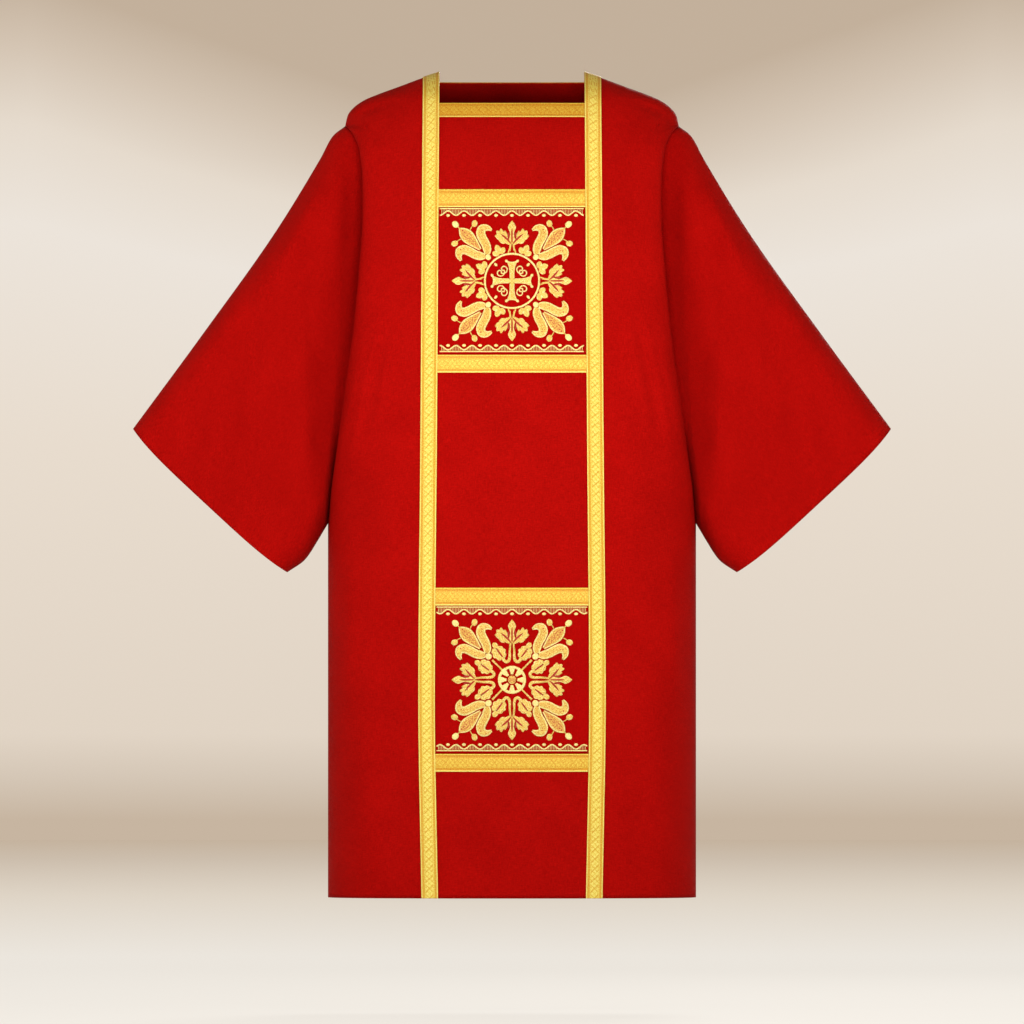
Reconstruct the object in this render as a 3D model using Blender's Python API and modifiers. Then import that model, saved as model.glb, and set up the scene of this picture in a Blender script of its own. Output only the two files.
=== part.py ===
"""A red dalmatic with gold braid, in the hollow form that it keeps when it is worn.

Metres, +Z up. The front faces -Y and the wearer's left is +X. The origin is between the two neck
points, at the height of the shoulder line there, which is where the wearer carries the garment.

The cloth is one continuous surface, cut into pieces along its seams. Every point of that surface has
a key, and two pieces that are sewn together share the keys along their seam, so their edges run side
by side. Braid and medallion squares reuse the points of the panel that they lie on, moved out.
"""

import math
from collections import defaultdict, namedtuple

import bpy
import numpy as np

# Driving dimensions
LENGTH = 1.300
CLOTH = 0.0015
BRAID = 0.0011
SQUARE = 0.0008
SEAM_GAP = 0.0003
FRONT_NECK_Z = -0.050
BACK_NECK_Z = -0.016
TIP_Z = -0.085
UNDERARM_Z = -0.711
SIDE_X = 0.290
BRAID_WIDTH = 0.026
SECTION_POWER = 2.6
FLARE_DEPTH = 0.215

# How far the shoulder outline has come out from the middle at each height, from neck point to tip
Shoulder = namedtuple("Shoulder", "z x")
SHOULDERS = [
    Shoulder(0.0000, 0.1140),
    Shoulder(-0.0095, 0.1430),
    Shoulder(-0.0220, 0.1765),
    Shoulder(-0.0350, 0.2120),
    Shoulder(-0.0440, 0.2330),
    Shoulder(-0.0560, 0.2500),
    Shoulder(-0.0680, 0.2590),
    Shoulder(TIP_Z, 0.2630),
]

# How far the middle of the front and of the back stand away from the shoulder line
Depth = namedtuple("Depth", "z front back")
DEPTHS = [
    Depth(0.0000, 0.008, 0.008),
    Depth(-0.0015, 0.017, 0.018),
    Depth(-0.006, 0.031, 0.033),
    Depth(-0.016, 0.048, 0.052),
    Depth(-0.030, 0.062, 0.067),
    Depth(-0.050, 0.076, 0.083),
    Depth(-0.100, 0.099, 0.108),
    Depth(-0.200, 0.123, 0.132),
    Depth(-0.330, 0.134, 0.141),
    Depth(-0.500, 0.138, 0.138),
    Depth(-0.710, 0.141, 0.138),
    Depth(-1.000, 0.146, 0.145),
    Depth(-LENGTH, 0.152, 0.152),
]

# The fold beside the arm: its outer edge, and behind it the armhole seam, from shoulder tip to underarm
Armhole = namedtuple("Armhole", "z edge_x edge_y seam_x seam_y")
ARMHOLE = [
    Armhole(TIP_Z, 0.2630, 0.0000, 0.2630, 0.0000),
    Armhole(-0.0864, 0.2612, 0.0130, 0.2610, 0.0125),
    Armhole(-0.0906, 0.2563, 0.0280, 0.2555, 0.0250),
    Armhole(-0.100, 0.2495, 0.0455, 0.2475, 0.0380),
    Armhole(-0.123, 0.2405, 0.0645, 0.2365, 0.0490),
    Armhole(-0.170, 0.2355, 0.0780, 0.2295, 0.0550),
    Armhole(-0.217, 0.2350, 0.0820, 0.2280, 0.0560),
    Armhole(-0.312, 0.2410, 0.083, 0.2330, 0.054),
    Armhole(-0.407, 0.2500, 0.079, 0.2425, 0.049),
    Armhole(-0.501, 0.2630, 0.067, 0.2565, 0.040),
    Armhole(-0.596, 0.2760, 0.047, 0.2720, 0.028),
    Armhole(-0.660, 0.2850, 0.025, 0.2830, 0.015),
    Armhole(UNDERARM_Z, SIDE_X, 0.000, SIDE_X, 0.000),
]

# The sleeve from armhole (0) to cuff (1): its top and lower lines seen from the front, how far it
# leans forward, and half its depth near the top and near the bottom
Sleeve = namedtuple("Sleeve", "s top_x top_z low_x low_z lean upper lower")
SLEEVE = [
    Sleeve(0.00, 0.263, TIP_Z, SIDE_X, UNDERARM_Z, 0.000, 0.050, 0.026),
    Sleeve(0.05, 0.282, -0.100, 0.293, -0.716, 0.001, 0.058, 0.034),
    Sleeve(0.12, 0.302, -0.136, 0.296, -0.721, 0.003, 0.066, 0.040),
    Sleeve(0.35, 0.373, -0.252, 0.306, -0.738, 0.010, 0.070, 0.044),
    Sleeve(0.70, 0.486, -0.411, 0.327, -0.769, 0.019, 0.062, 0.038),
    Sleeve(1.00, 0.597, -0.562, 0.354, -0.788, 0.026, 0.054, 0.030),
]
CUFF_BOW = 0.0085
TOP_ROUND = 0.14
LOW_ROUND = 0.10
BOW_REACH = 0.62
SLEEVE_BELLY = 0.16

# Inner edge of each upright braid
BraidLine = namedtuple("BraidLine", "z x")
BRAID_LINE = [
    BraidLine(0.000, 0.114),
    BraidLine(-0.600, 0.118),
    BraidLine(-0.990, 0.121),
    BraidLine(-LENGTH, 0.116),
]

# Heights of the cross braids on the front, top edge and bottom edge
Band = namedtuple("Band", "name top bottom")
CROSS_BRAIDS = [
    Band("cross_braid_1", -0.186, -0.214),
    Band("cross_braid_2", -0.446, -0.474),
    Band("cross_braid_3", -0.812, -0.840),
    Band("cross_braid_4", -1.073, -1.101),
]
SQUARES = [
    Band("medallion_square_upper", -0.214, -0.446),
    Band("medallion_square_lower", -0.840, -1.073),
]
FRONT_NECK_BRAID = Band("neck_braid_front", FRONT_NECK_Z, -0.072)
BACK_NECK_BRAID = Band("neck_braid_back", BACK_NECK_Z, -0.038)

# Soft upright folds: where each starts and ends, how wide it is and how far it stands out. A fold
# fades over a share of its length at each end, and where the cloth comes near its section's middle.
# One that ends below the hem runs out through it
Fold = namedtuple("Fold", "side x_top z_top x_low z_low width height")
FOLDS = [
    Fold("front", 0.214, -0.330, 0.262, -0.690, 0.024, 0.0050),
    Fold("front", 0.176, -0.400, 0.205, -0.860, 0.030, 0.0045),
    Fold("front", 0.232, -0.760, 0.236, -1.420, 0.040, 0.0070),
    Fold("front", 0.000, -0.560, 0.000, -1.420, 0.070, 0.0040),
    Fold("back", 0.205, -0.200, 0.252, -0.740, 0.030, 0.0070),
    Fold("back", 0.070, -0.300, 0.078, -1.420, 0.042, 0.0080),
    Fold("back", 0.190, -0.620, 0.205, -1.420, 0.040, 0.0090),
    Fold("sleeve_front", 0.352, -0.190, 0.346, -0.680, 0.034, 0.0060),
    Fold("sleeve_front", 0.418, -0.270, 0.410, -0.640, 0.022, -0.0050),
    Fold("sleeve_front", 0.480, -0.380, 0.462, -0.760, 0.036, 0.0060),
    Fold("sleeve_back", 0.345, -0.150, 0.335, -0.740, 0.040, 0.0065),
    Fold("sleeve_back", 0.455, -0.320, 0.440, -0.780, 0.042, 0.0060),
]
FOLD_END = 0.35
FOLD_FADE = 0.050

# Mesh lines: heights at the middle of the body, and how the cloth outside the braid is divided
BODY_ROWS = [
    0.0, -0.0015, -0.006, -0.016, -0.026, -0.038, -0.050, -0.072, -0.105, -0.145, -0.186, -0.214,
    -0.272, -0.330, -0.388, -0.446, -0.474, -0.530, -0.585, -0.632, -0.670, -0.705, -0.755, -0.812,
    -0.840, -0.898, -0.956, -1.015, -1.073, -1.101, -1.165, -1.232, -LENGTH,
]
UNDERARM_ROW = BODY_ROWS.index(-0.670)
SHOULDER_COLUMNS = [0.140, 0.163, 0.184, 0.204, 0.223, 0.240, 0.2525, 0.2585, 0.2615, 0.263]
FOLD_CELLS = 4
FOLD_REACH = 0.026
TIP_BLEND = 0.040
MIDDLE_CELLS = 3
SLEEVE_STEPS = [0.0, 0.03, 0.08, 0.16, 0.28, 0.42, 0.57, 0.72, 0.86, 1.0]
SECTION_SAMPLES = 90
RETURN_SAMPLES = 12
RETURN_CORNER = 0.35
LEAST_MITRE = 0.3

# Colour, roughness and metallic value of each kind of material
LOOKS = {
    "red_cloth": ((0.42, 0.006, 0.005, 1.0), 0.85, 0.0),
    "red_square": ((0.46, 0.008, 0.008, 1.0), 0.7, 0.0),
    "gold_braid": ((0.86, 0.56, 0.11, 1.0), 0.45, 0.35),
}


def smooth_curve(rows, key, value):
    """A function that runs smoothly through one column of a table, with no overshoot between its rows."""
    pairs = sorted((getattr(row, key), getattr(row, value)) for row in rows)
    xs, ys = [p[0] for p in pairs], [p[1] for p in pairs]
    steps = [b - a for a, b in zip(xs, xs[1:])]
    slopes = [(b - a) / h for a, b, h in zip(ys, ys[1:], steps)]
    tangents = [slopes[0]]
    for left, right in zip(slopes, slopes[1:]):
        tangents.append(2 * left * right / (left + right) if left * right > 0 else 0.0)
    tangents.append(slopes[-1])

    def at(x):
        x = min(max(x, xs[0]), xs[-1])
        i = max(k for k in range(len(steps)) if xs[k] <= x or k == 0)
        t, h = (x - xs[i]) / steps[i], steps[i]
        start = (1 + 2 * t) * (1 - t) ** 2 * ys[i] + t * t * (3 - 2 * t) * ys[i + 1]
        return start + h * (t * (1 - t) ** 2 * tangents[i] - t * t * (1 - t) * tangents[i + 1])

    return at


def ease(t):
    """0 below 0, 1 above 1, and smooth between."""
    t = min(max(t, 0.0), 1.0)
    return t * t * (3 - 2 * t)


def mix(a, b, t):
    return a + (b - a) * t


shoulder_x = smooth_curve(SHOULDERS, "z", "x")
depth_of = {side: smooth_curve(DEPTHS, "z", side) for side in ("front", "back")}
armhole = {name: smooth_curve(ARMHOLE, "z", name) for name in Armhole._fields[1:]}
sleeve = {name: smooth_curve(SLEEVE, "s", name) for name in Sleeve._fields[1:]}
braid_x = smooth_curve(BRAID_LINE, "z", "x")


def shoulder_z(x):
    """Height of the shoulder outline at a distance x from the middle."""
    high, low = 0.0, TIP_Z
    for _ in range(50):
        middle = (high + low) / 2
        if shoulder_x(middle) < x:
            high = middle
        else:
            low = middle
    return (high + low) / 2


def rounded(x, half_width):
    """How much of its depth a rounded section still has at a distance x from its middle."""
    share = min(abs(x) / half_width, 1.0)
    return (1 - share**SECTION_POWER) ** (1 / SECTION_POWER)


def section(side, z):
    """Half of the body's section at a height, as (x, depth) points from the middle to its seam."""
    deep = depth_of[side](z)
    if z >= TIP_Z or z <= UNDERARM_Z:
        edge_x, edge_y = (shoulder_x(z) if z >= TIP_Z else SIDE_X), 0.0
        seam_x, seam_y = edge_x, edge_y
    else:
        edge_x, edge_y, seam_x, seam_y = (armhole[name](z) for name in Armhole._fields[1:])
    points = []
    for i in range(SECTION_SAMPLES + 1):
        turn = math.pi / 2 * i / SECTION_SAMPLES
        x = edge_x * math.sin(turn) ** (2 / SECTION_POWER)
        y = edge_y + (deep - edge_y) * max(math.cos(turn), 0.0) ** (2 / SECTION_POWER)
        points.append((x, y))
    if edge_y == 0:
        return points
    # From the fold's edge the cloth bends back round a corner to the armhole seam
    corner_y = mix(seam_y, edge_y, RETURN_CORNER)
    for i in range(1, RETURN_SAMPLES + 1):
        t = i / RETURN_SAMPLES
        x = (1 - t * t) * edge_x + t * t * seam_x
        y = (1 - t) ** 2 * edge_y + 2 * t * (1 - t) * corner_y + t * t * seam_y
        points.append((x, y))
    return points


def walk(points, start_x):
    """Distances along a section from where it passes start_x, and the points."""
    points = np.array(points)
    steps = np.hypot(*np.diff(points, axis=0).T)
    along = np.concatenate([[0.0], np.cumsum(steps)])
    passed = int(np.argmax(points[:, 0] >= start_x))
    before = points[passed - 1]
    share = (start_x - before[0]) / (points[passed][0] - before[0])
    start = mix(along[passed - 1], along[passed], share)
    return along - start, points


def fold_out(side, x, z):
    """How far the soft folds push a panel out at (x, z)."""
    out = 0.0
    for fold in FOLDS:
        if fold.side != side or not fold.z_low <= z <= fold.z_top:
            continue
        down = (fold.z_top - z) / (fold.z_top - fold.z_low)
        off = (abs(x) - mix(fold.x_top, fold.x_low, down)) / fold.width
        fade = ease(down / FOLD_END) * ease((1 - down) / FOLD_END)
        out += fold.height * fade * math.exp(-off * off)
    return out


def panel_point(side, x, y, z):
    """The finished point for a place on a section, on the half with +X."""
    y += fold_out(side, x, z) * ease(y / FOLD_FADE)
    return (x, -y if side == "front" else y, z)


def middle_point(side, share, z):
    """A point between the middle (0) and the inner edge of the upright braid (1)."""
    x = braid_x(z) * share
    half_width = section(side, z)[SECTION_SAMPLES][0]
    edge_y = 0.0
    if UNDERARM_Z < z < TIP_Z:
        edge_y = armhole["edge_y"](z)
    y = edge_y + (depth_of[side](z) - edge_y) * rounded(x, half_width)
    return panel_point(side, x, y, z)


def outer_point(side, column, z):
    """A point of the cloth between the braid and the seam, by its column and height."""
    top_x = SHOULDER_COLUMNS[column]
    if z >= TIP_Z:
        return panel_point(side, top_x, depth_of[side](z) * rounded(top_x, shoulder_x(z)), z)
    # Past the fold's edge the columns run back to the armhole seam, so one column follows the edge
    edge_column = len(SHOULDER_COLUMNS) - 1 - FOLD_CELLS
    along, points = walk(section(side, TIP_Z), braid_x(TIP_Z) + BRAID_WIDTH)
    tip_edge = float(np.interp(SHOULDER_COLUMNS[edge_column], points[:, 0], along))
    tip_place, tip_reach = float(np.interp(top_x, points[:, 0], along)), along[-1] - tip_edge
    below = ease((TIP_Z - z) / TIP_BLEND)
    along, points = walk(section(side, z), braid_x(z) + BRAID_WIDTH)
    reach = max(along[-1] - along[SECTION_SAMPLES], mix(tip_reach, FOLD_REACH, below))
    edge = along[-1] - reach
    if column <= edge_column:
        even = column / edge_column
        place = edge * mix(tip_place / tip_edge, even, ease((TIP_Z - z) / FLARE_DEPTH))
    else:
        even = (column - edge_column) / FOLD_CELLS
        place = edge + reach * mix((tip_place - tip_edge) / tip_reach, even, below)
    x = float(np.interp(place, along, points[:, 0]))
    y = float(np.interp(place, along, points[:, 1]))
    return panel_point(side, x, y, z)


def sleeve_point(s, t, face, seam):
    """A point of the sleeve at +X: s out from the armhole, t down it, face -1 in front and 1 behind."""
    seam_x, seam_y, seam_z = seam
    top = np.array([sleeve["top_x"](s), sleeve["top_z"](s)])
    low = np.array([sleeve["low_x"](s), sleeve["low_z"](s)])
    down = low - top
    out = np.array([-down[1], down[0]]) / np.linalg.norm(down)
    bow = CUFF_BOW * ease(s / BOW_REACH) * (1 - (2 * t - 1) ** 4)
    place = top + down * t + out * bow
    start = np.array([mix(SLEEVE[0].top_x, SLEEVE[0].low_x, t), mix(TIP_Z, UNDERARM_Z, t)])
    place = place + (np.array([seam_x, seam_z]) - start) * (1 - s) ** 3
    tube = mix(sleeve["upper"](s), sleeve["lower"](s), ease(t))
    tube *= math.sqrt(1 - (1 - min(t / TOP_ROUND, 1)) ** 2)
    tube *= math.sqrt(1 - (1 - min((1 - t) / LOW_ROUND, 1)) ** 2)
    grown = 1 - (1 - min(s / SLEEVE_BELLY, 1)) ** 2
    half = mix(abs(seam_y), tube, grown)
    folds = fold_out("sleeve_front" if face < 0 else "sleeve_back", *place)
    half += folds * grown * ease(half / FOLD_FADE)
    return (float(place[0]), face * half - sleeve["lean"](s), float(place[1]))


def build_surface():
    """The whole garment's surface: points by key, and the cells of each cut piece."""
    points, cells = {}, {}
    last = len(BODY_ROWS) - 1
    outer = len(SHOULDER_COLUMNS)
    seam_column = MIDDLE_CELLS + outer

    def body_key(side, row, column):
        """Front and back share the shoulder ridge, and the side seam below the underarm."""
        if row == 0 and abs(column) >= MIDDLE_CELLS:
            return ("ridge", column)
        if abs(column) == seam_column and row >= UNDERARM_ROW:
            return ("side", row, column)
        return (side, row, column)

    for side in ("front", "back"):
        for row, level in enumerate(BODY_ROWS):
            for column in range(seam_column + 1):
                if column <= MIDDLE_CELLS:
                    point = middle_point(side, column / MIDDLE_CELLS, level)
                    if row == 0:
                        point = (point[0], 0.0, point[2])
                else:
                    number = column - MIDDLE_CELLS - 1
                    top = shoulder_z(SHOULDER_COLUMNS[number])
                    z = mix(top, -LENGTH, -level / LENGTH)
                    point = outer_point(side, number, z)
                    if row == 0:
                        point = (SHOULDER_COLUMNS[number], 0.0, top)
                x, y, z = point
                points[body_key(side, row, column)] = (x, y, z)
                points[body_key(side, row, -column)] = (-x, y, z)

    neck = {"front": BODY_ROWS.index(FRONT_NECK_Z), "back": BODY_ROWS.index(BACK_NECK_Z)}
    for side in ("front", "back"):
        for row in range(last):
            for column in range(-seam_column, seam_column):
                if row < neck[side] and -MIDDLE_CELLS <= column < MIDDLE_CELLS:
                    continue
                corners = [
                    body_key(side, row, column),
                    body_key(side, row + 1, column),
                    body_key(side, row + 1, column + 1),
                    body_key(side, row, column + 1),
                ]
                if column >= 0:
                    corners = corners[1:] + corners[:1]
                if side == "back":
                    corners = turned_over(corners)
                cells[side, row, column] = corners

    loop = [("front", row) for row in range(UNDERARM_ROW + 1)]
    loop += [("back", row) for row in range(UNDERARM_ROW - 1, 0, -1)]
    for mirror, name in ((1, "sleeve_left"), (-1, "sleeve_right")):
        keys = []
        for side, row in loop:
            seam_key = body_key(side, row, seam_column * mirror)
            seam = points[body_key(side, row, seam_column)]
            t = min(max((TIP_Z - seam[2]) / (TIP_Z - UNDERARM_Z), 0.0), 1.0)
            line = [seam_key]
            for step, s in enumerate(SLEEVE_STEPS[1:], 1):
                x, y, z = sleeve_point(s, t, -1 if side == "front" else 1, seam)
                key = (name, side, row, step)
                points[key] = (x * mirror, y, z)
                line.append(key)
            keys.append(line)
        for k, line in enumerate(keys):
            following = keys[(k + 1) % len(keys)]
            for step in range(len(SLEEVE_STEPS) - 1):
                corners = [line[step], following[step], following[step + 1], line[step + 1]]
                cells[name, k, step] = corners if mirror > 0 else turned_over(corners)
    return points, cells


def turned_over(corners):
    """The same cell facing the other way, split along the same diagonal."""
    return [corners[0], corners[3], corners[2], corners[1]]


def triangles(corners):
    a, b, c, d = corners
    return [(a, b, c), (a, c, d)]


def unit(vector):
    return vector / np.linalg.norm(vector)


def surface_normals(points, cells):
    """The outward direction at each point. Along a seam it is midway between those of the two pieces."""
    by_piece = defaultdict(lambda: defaultdict(lambda: np.zeros(3)))
    for cell_key, corners in cells.items():
        total = by_piece[cell_key[0]]
        for triangle in triangles(corners):
            a, b, c = (np.array(points[key]) for key in triangle)
            face = np.cross(b - a, c - a)
            for key in triangle:
                total[key] += face
    shared = defaultdict(lambda: np.zeros(3))
    for total in by_piece.values():
        for key, vector in total.items():
            shared[key] += unit(vector)
    return {key: unit(vector) for key, vector in shared.items()}


def trimmed(faces, points, normals):
    """The points of a piece with its edges drawn in by half a seam gap."""
    used = defaultdict(list)
    for face in faces:
        for a, b in zip(face, face[1:] + face[:1]):
            used[frozenset((a, b))].append(face)
    inward = defaultdict(list)
    for edge, sharing in used.items():
        if len(sharing) > 1:
            continue
        a, b = edge
        middle = (np.array(points[a]) + points[b]) / 2
        line = unit(np.array(points[b]) - points[a])
        centre = sum(np.array(points[key]) for key in sharing[0]) / 3
        for key in edge:
            across = centre - middle
            across -= line * (across @ line)
            across -= normals[key] * (across @ normals[key])
            inward[key].append(unit(across))
    moved = {key: np.array(points[key]) for face in faces for key in face}
    for key, directions in inward.items():
        mean = sum(directions) / len(directions)
        moved[key] = moved[key] + mean * (SEAM_GAP / 2 / max(mean @ mean, LEAST_MITRE))
    boundary = {edge for edge, sharing in used.items() if len(sharing) == 1}
    return moved, boundary


def make_material(name, look):
    colour, roughness, metallic = LOOKS[look]
    material = bpy.data.materials.new(name)
    material.use_nodes = True
    shader = material.node_tree.nodes["Principled BSDF"]
    shader.inputs["Base Color"].default_value = colour
    shader.inputs["Roughness"].default_value = roughness
    shader.inputs["Metallic"].default_value = metallic
    return material


def add_object(name, coordinates, faces, sharp, look, collection):
    """A smooth mesh whose cut edges, given as pairs of point numbers, stay sharp."""
    mesh = bpy.data.meshes.new(name)
    mesh.from_pydata([tuple(point) for point in coordinates], [], faces)
    mesh.materials.append(make_material(f"{name}_{look}", look))
    mesh.shade_smooth()
    for edge in mesh.edges:
        edge.use_edge_sharp = frozenset(edge.vertices) in sharp
    piece = bpy.data.objects.new(name, mesh)
    collection.objects.link(piece)
    return piece


def make_cloth(name, own_cells, surface, collection):
    """A cut piece as a closed wall. Its inner points go in along directions that it shares with the
    pieces sewn to it, so the walls stay side by side right through the seam."""
    points, normals = surface
    faces = [triangle for corners in own_cells for triangle in triangles(corners)]
    moved, boundary = trimmed(faces, points, normals)
    number = {key: i for i, key in enumerate(moved)}
    count = len(moved)
    inner = [point - normals[key] * CLOTH for key, point in moved.items()]
    skin = [tuple(number[key] for key in face) for face in faces]
    lining = [tuple(i + count for i in reversed(face)) for face in skin]
    rim, sharp = [], set()
    for face in faces:
        for a, b in zip(face, face[1:] + face[:1]):
            if frozenset((a, b)) not in boundary:
                continue
            # Two pieces that share a twisted seam split its edge along the same diagonal
            a_first = str(a) < str(b)
            a, b = number[a], number[b]
            if a_first:
                rim += [(b, a, b + count), (a, a + count, b + count)]
            else:
                rim += [(b, a, a + count), (b, a + count, b + count)]
            sharp |= {frozenset((a, b)), frozenset((a + count, b + count))}
    add_object(name, list(moved.values()) + inner, skin + lining + rim, sharp, "red_cloth", collection)


def lay_on(name, own_cells, surface, wall, look, collection):
    """Braid or a square on a panel: the panel's own points moved out, with a wall outside them."""
    points, normals = surface
    faces = [triangle for corners in own_cells for triangle in triangles(corners)]
    moved, boundary = trimmed(faces, points, normals)
    number = {key: i for i, key in enumerate(moved)}
    lifted = [point + normals[key] * SEAM_GAP for key, point in moved.items()]
    skin = [tuple(number[key] for key in face) for face in faces]
    sharp = {frozenset(number[key] for key in edge) for edge in boundary}
    piece = add_object(name, lifted, skin, sharp, look, collection)
    solidify = piece.modifiers.new("wall", "SOLIDIFY")
    solidify.thickness = wall
    solidify.offset = 1.0
    solidify.use_quality_normals = True


def band_cells(cells, side, band):
    """The cells of a panel between the two upright braids and between two heights."""
    rows = range(BODY_ROWS.index(band.top), BODY_ROWS.index(band.bottom))
    return [cells[side, row, column] for row in rows for column in range(-MIDDLE_CELLS, MIDDLE_CELLS)]


def main():
    for old in list(bpy.data.objects):
        bpy.data.objects.remove(old)
    collection = bpy.data.collections.new("dalmatic")
    bpy.context.scene.collection.children.link(collection)
    points, cells = build_surface()
    surface = (points, surface_normals(points, cells))

    pieces = {"front": "front_panel", "back": "back_panel"}
    for part in ("front", "back", "sleeve_left", "sleeve_right"):
        own = [corners for key, corners in cells.items() if key[0] == part]
        make_cloth(pieces.get(part, part), own, surface, collection)

    # Each upright braid runs from the front hem over the shoulder to the back hem in one length
    rows = range(len(BODY_ROWS) - 1)
    for column, name in ((MIDDLE_CELLS, "upright_braid_left"), (-MIDDLE_CELLS - 1, "upright_braid_right")):
        own = [cells[side, row, column] for side in ("front", "back") for row in rows]
        lay_on(name, own, surface, BRAID, "gold_braid", collection)
    for side, bands in (("front", [FRONT_NECK_BRAID] + CROSS_BRAIDS), ("back", [BACK_NECK_BRAID])):
        for band in bands:
            lay_on(band.name, band_cells(cells, side, band), surface, BRAID, "gold_braid", collection)
    for band in SQUARES:
        lay_on(band.name, band_cells(cells, "front", band), surface, SQUARE, "red_square", collection)


main()
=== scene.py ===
"""The look of the red dalmatic: cloth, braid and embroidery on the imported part's form.

Metres, +Z up, front at -Y. The sizes and curves repeat those of the part, so every piece here lies
where the part's own solid is, in a finer form.
"""

import math
from collections import namedtuple
from itertools import chain

import bmesh
import bpy
import numpy as np
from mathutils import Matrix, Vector


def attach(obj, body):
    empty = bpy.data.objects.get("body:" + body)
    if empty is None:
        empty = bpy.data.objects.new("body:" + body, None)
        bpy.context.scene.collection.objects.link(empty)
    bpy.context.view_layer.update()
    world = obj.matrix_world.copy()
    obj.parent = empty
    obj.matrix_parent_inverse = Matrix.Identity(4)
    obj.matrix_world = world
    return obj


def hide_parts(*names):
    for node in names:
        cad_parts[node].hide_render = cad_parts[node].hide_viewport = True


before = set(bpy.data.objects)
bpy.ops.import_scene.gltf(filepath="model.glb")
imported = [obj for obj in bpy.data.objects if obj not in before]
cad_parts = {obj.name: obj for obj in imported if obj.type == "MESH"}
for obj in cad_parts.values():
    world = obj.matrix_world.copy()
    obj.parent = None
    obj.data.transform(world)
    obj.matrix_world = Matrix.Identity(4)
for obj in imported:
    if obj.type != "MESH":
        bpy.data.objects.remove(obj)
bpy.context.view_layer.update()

# Driving dimensions
LENGTH = 1.300
CLOTH = 0.0015
FRONT_NECK_Z = -0.050
BACK_NECK_Z = -0.016
TIP_Z = -0.085
UNDERARM_Z = -0.711
UNDERARM_LEVEL = -0.670
SIDE_X = 0.290
BRAID_WIDTH = 0.026
SECTION_POWER = 2.6
FLARE_DEPTH = 0.215

# How far the shoulder outline has come out from the middle at each height, from neck point to tip
Shoulder = namedtuple("Shoulder", "z x")
SHOULDERS = [
    Shoulder(0.0000, 0.1140),
    Shoulder(-0.0095, 0.1430),
    Shoulder(-0.0220, 0.1765),
    Shoulder(-0.0350, 0.2120),
    Shoulder(-0.0440, 0.2330),
    Shoulder(-0.0560, 0.2500),
    Shoulder(-0.0680, 0.2590),
    Shoulder(TIP_Z, 0.2630),
]

# How far the middle of the front and of the back stand away from the shoulder line
Depth = namedtuple("Depth", "z front back")
DEPTHS = [
    Depth(0.0000, 0.008, 0.008),
    Depth(-0.0015, 0.017, 0.018),
    Depth(-0.006, 0.031, 0.033),
    Depth(-0.016, 0.048, 0.052),
    Depth(-0.030, 0.062, 0.067),
    Depth(-0.050, 0.076, 0.083),
    Depth(-0.100, 0.099, 0.108),
    Depth(-0.200, 0.123, 0.132),
    Depth(-0.330, 0.134, 0.141),
    Depth(-0.500, 0.138, 0.138),
    Depth(-0.710, 0.141, 0.138),
    Depth(-1.000, 0.146, 0.145),
    Depth(-LENGTH, 0.152, 0.152),
]

# The fold beside the arm: its outer edge, and behind it the armhole seam, from shoulder tip to underarm
Armhole = namedtuple("Armhole", "z edge_x edge_y seam_x seam_y")
ARMHOLE = [
    Armhole(TIP_Z, 0.2630, 0.0000, 0.2630, 0.0000),
    Armhole(-0.0864, 0.2612, 0.0130, 0.2610, 0.0125),
    Armhole(-0.0906, 0.2563, 0.0280, 0.2555, 0.0250),
    Armhole(-0.100, 0.2495, 0.0455, 0.2475, 0.0360),
    Armhole(-0.123, 0.2405, 0.0645, 0.2365, 0.0440),
    Armhole(-0.170, 0.2355, 0.0780, 0.2295, 0.0480),
    Armhole(-0.217, 0.2350, 0.0820, 0.2280, 0.0480),
    Armhole(-0.312, 0.2410, 0.083, 0.2330, 0.0465),
    Armhole(-0.407, 0.2500, 0.079, 0.2425, 0.0430),
    Armhole(-0.501, 0.2630, 0.067, 0.2565, 0.040),
    Armhole(-0.596, 0.2760, 0.047, 0.2720, 0.028),
    Armhole(-0.660, 0.2850, 0.025, 0.2830, 0.015),
    Armhole(UNDERARM_Z, SIDE_X, 0.000, SIDE_X, 0.000),
]

# The sleeve from armhole (0) to cuff (1): its top and lower lines seen from the front, how far it
# leans forward, and half its depth near the top and near the bottom
Sleeve = namedtuple("Sleeve", "s top_x top_z low_x low_z lean upper lower")
SLEEVE = [
    Sleeve(0.00, 0.263, TIP_Z, SIDE_X, UNDERARM_Z, 0.000, 0.050, 0.026),
    Sleeve(0.05, 0.282, -0.100, 0.293, -0.716, 0.001, 0.058, 0.034),
    Sleeve(0.12, 0.302, -0.136, 0.296, -0.721, 0.003, 0.066, 0.040),
    Sleeve(0.35, 0.373, -0.252, 0.306, -0.738, 0.010, 0.070, 0.044),
    Sleeve(0.70, 0.486, -0.411, 0.327, -0.769, 0.019, 0.062, 0.038),
    Sleeve(1.00, 0.597, -0.562, 0.354, -0.788, 0.026, 0.054, 0.030),
]
CUFF_BOW = 0.0085
TOP_ROUND = 0.14
LOW_ROUND = 0.10
BOW_REACH = 0.62
SLEEVE_BELLY = 0.16

# Inner edge of each upright braid
BraidLine = namedtuple("BraidLine", "z x")
BRAID_LINE = [
    BraidLine(0.000, 0.114),
    BraidLine(-0.600, 0.118),
    BraidLine(-0.990, 0.121),
    BraidLine(-LENGTH, 0.116),
]

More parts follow.
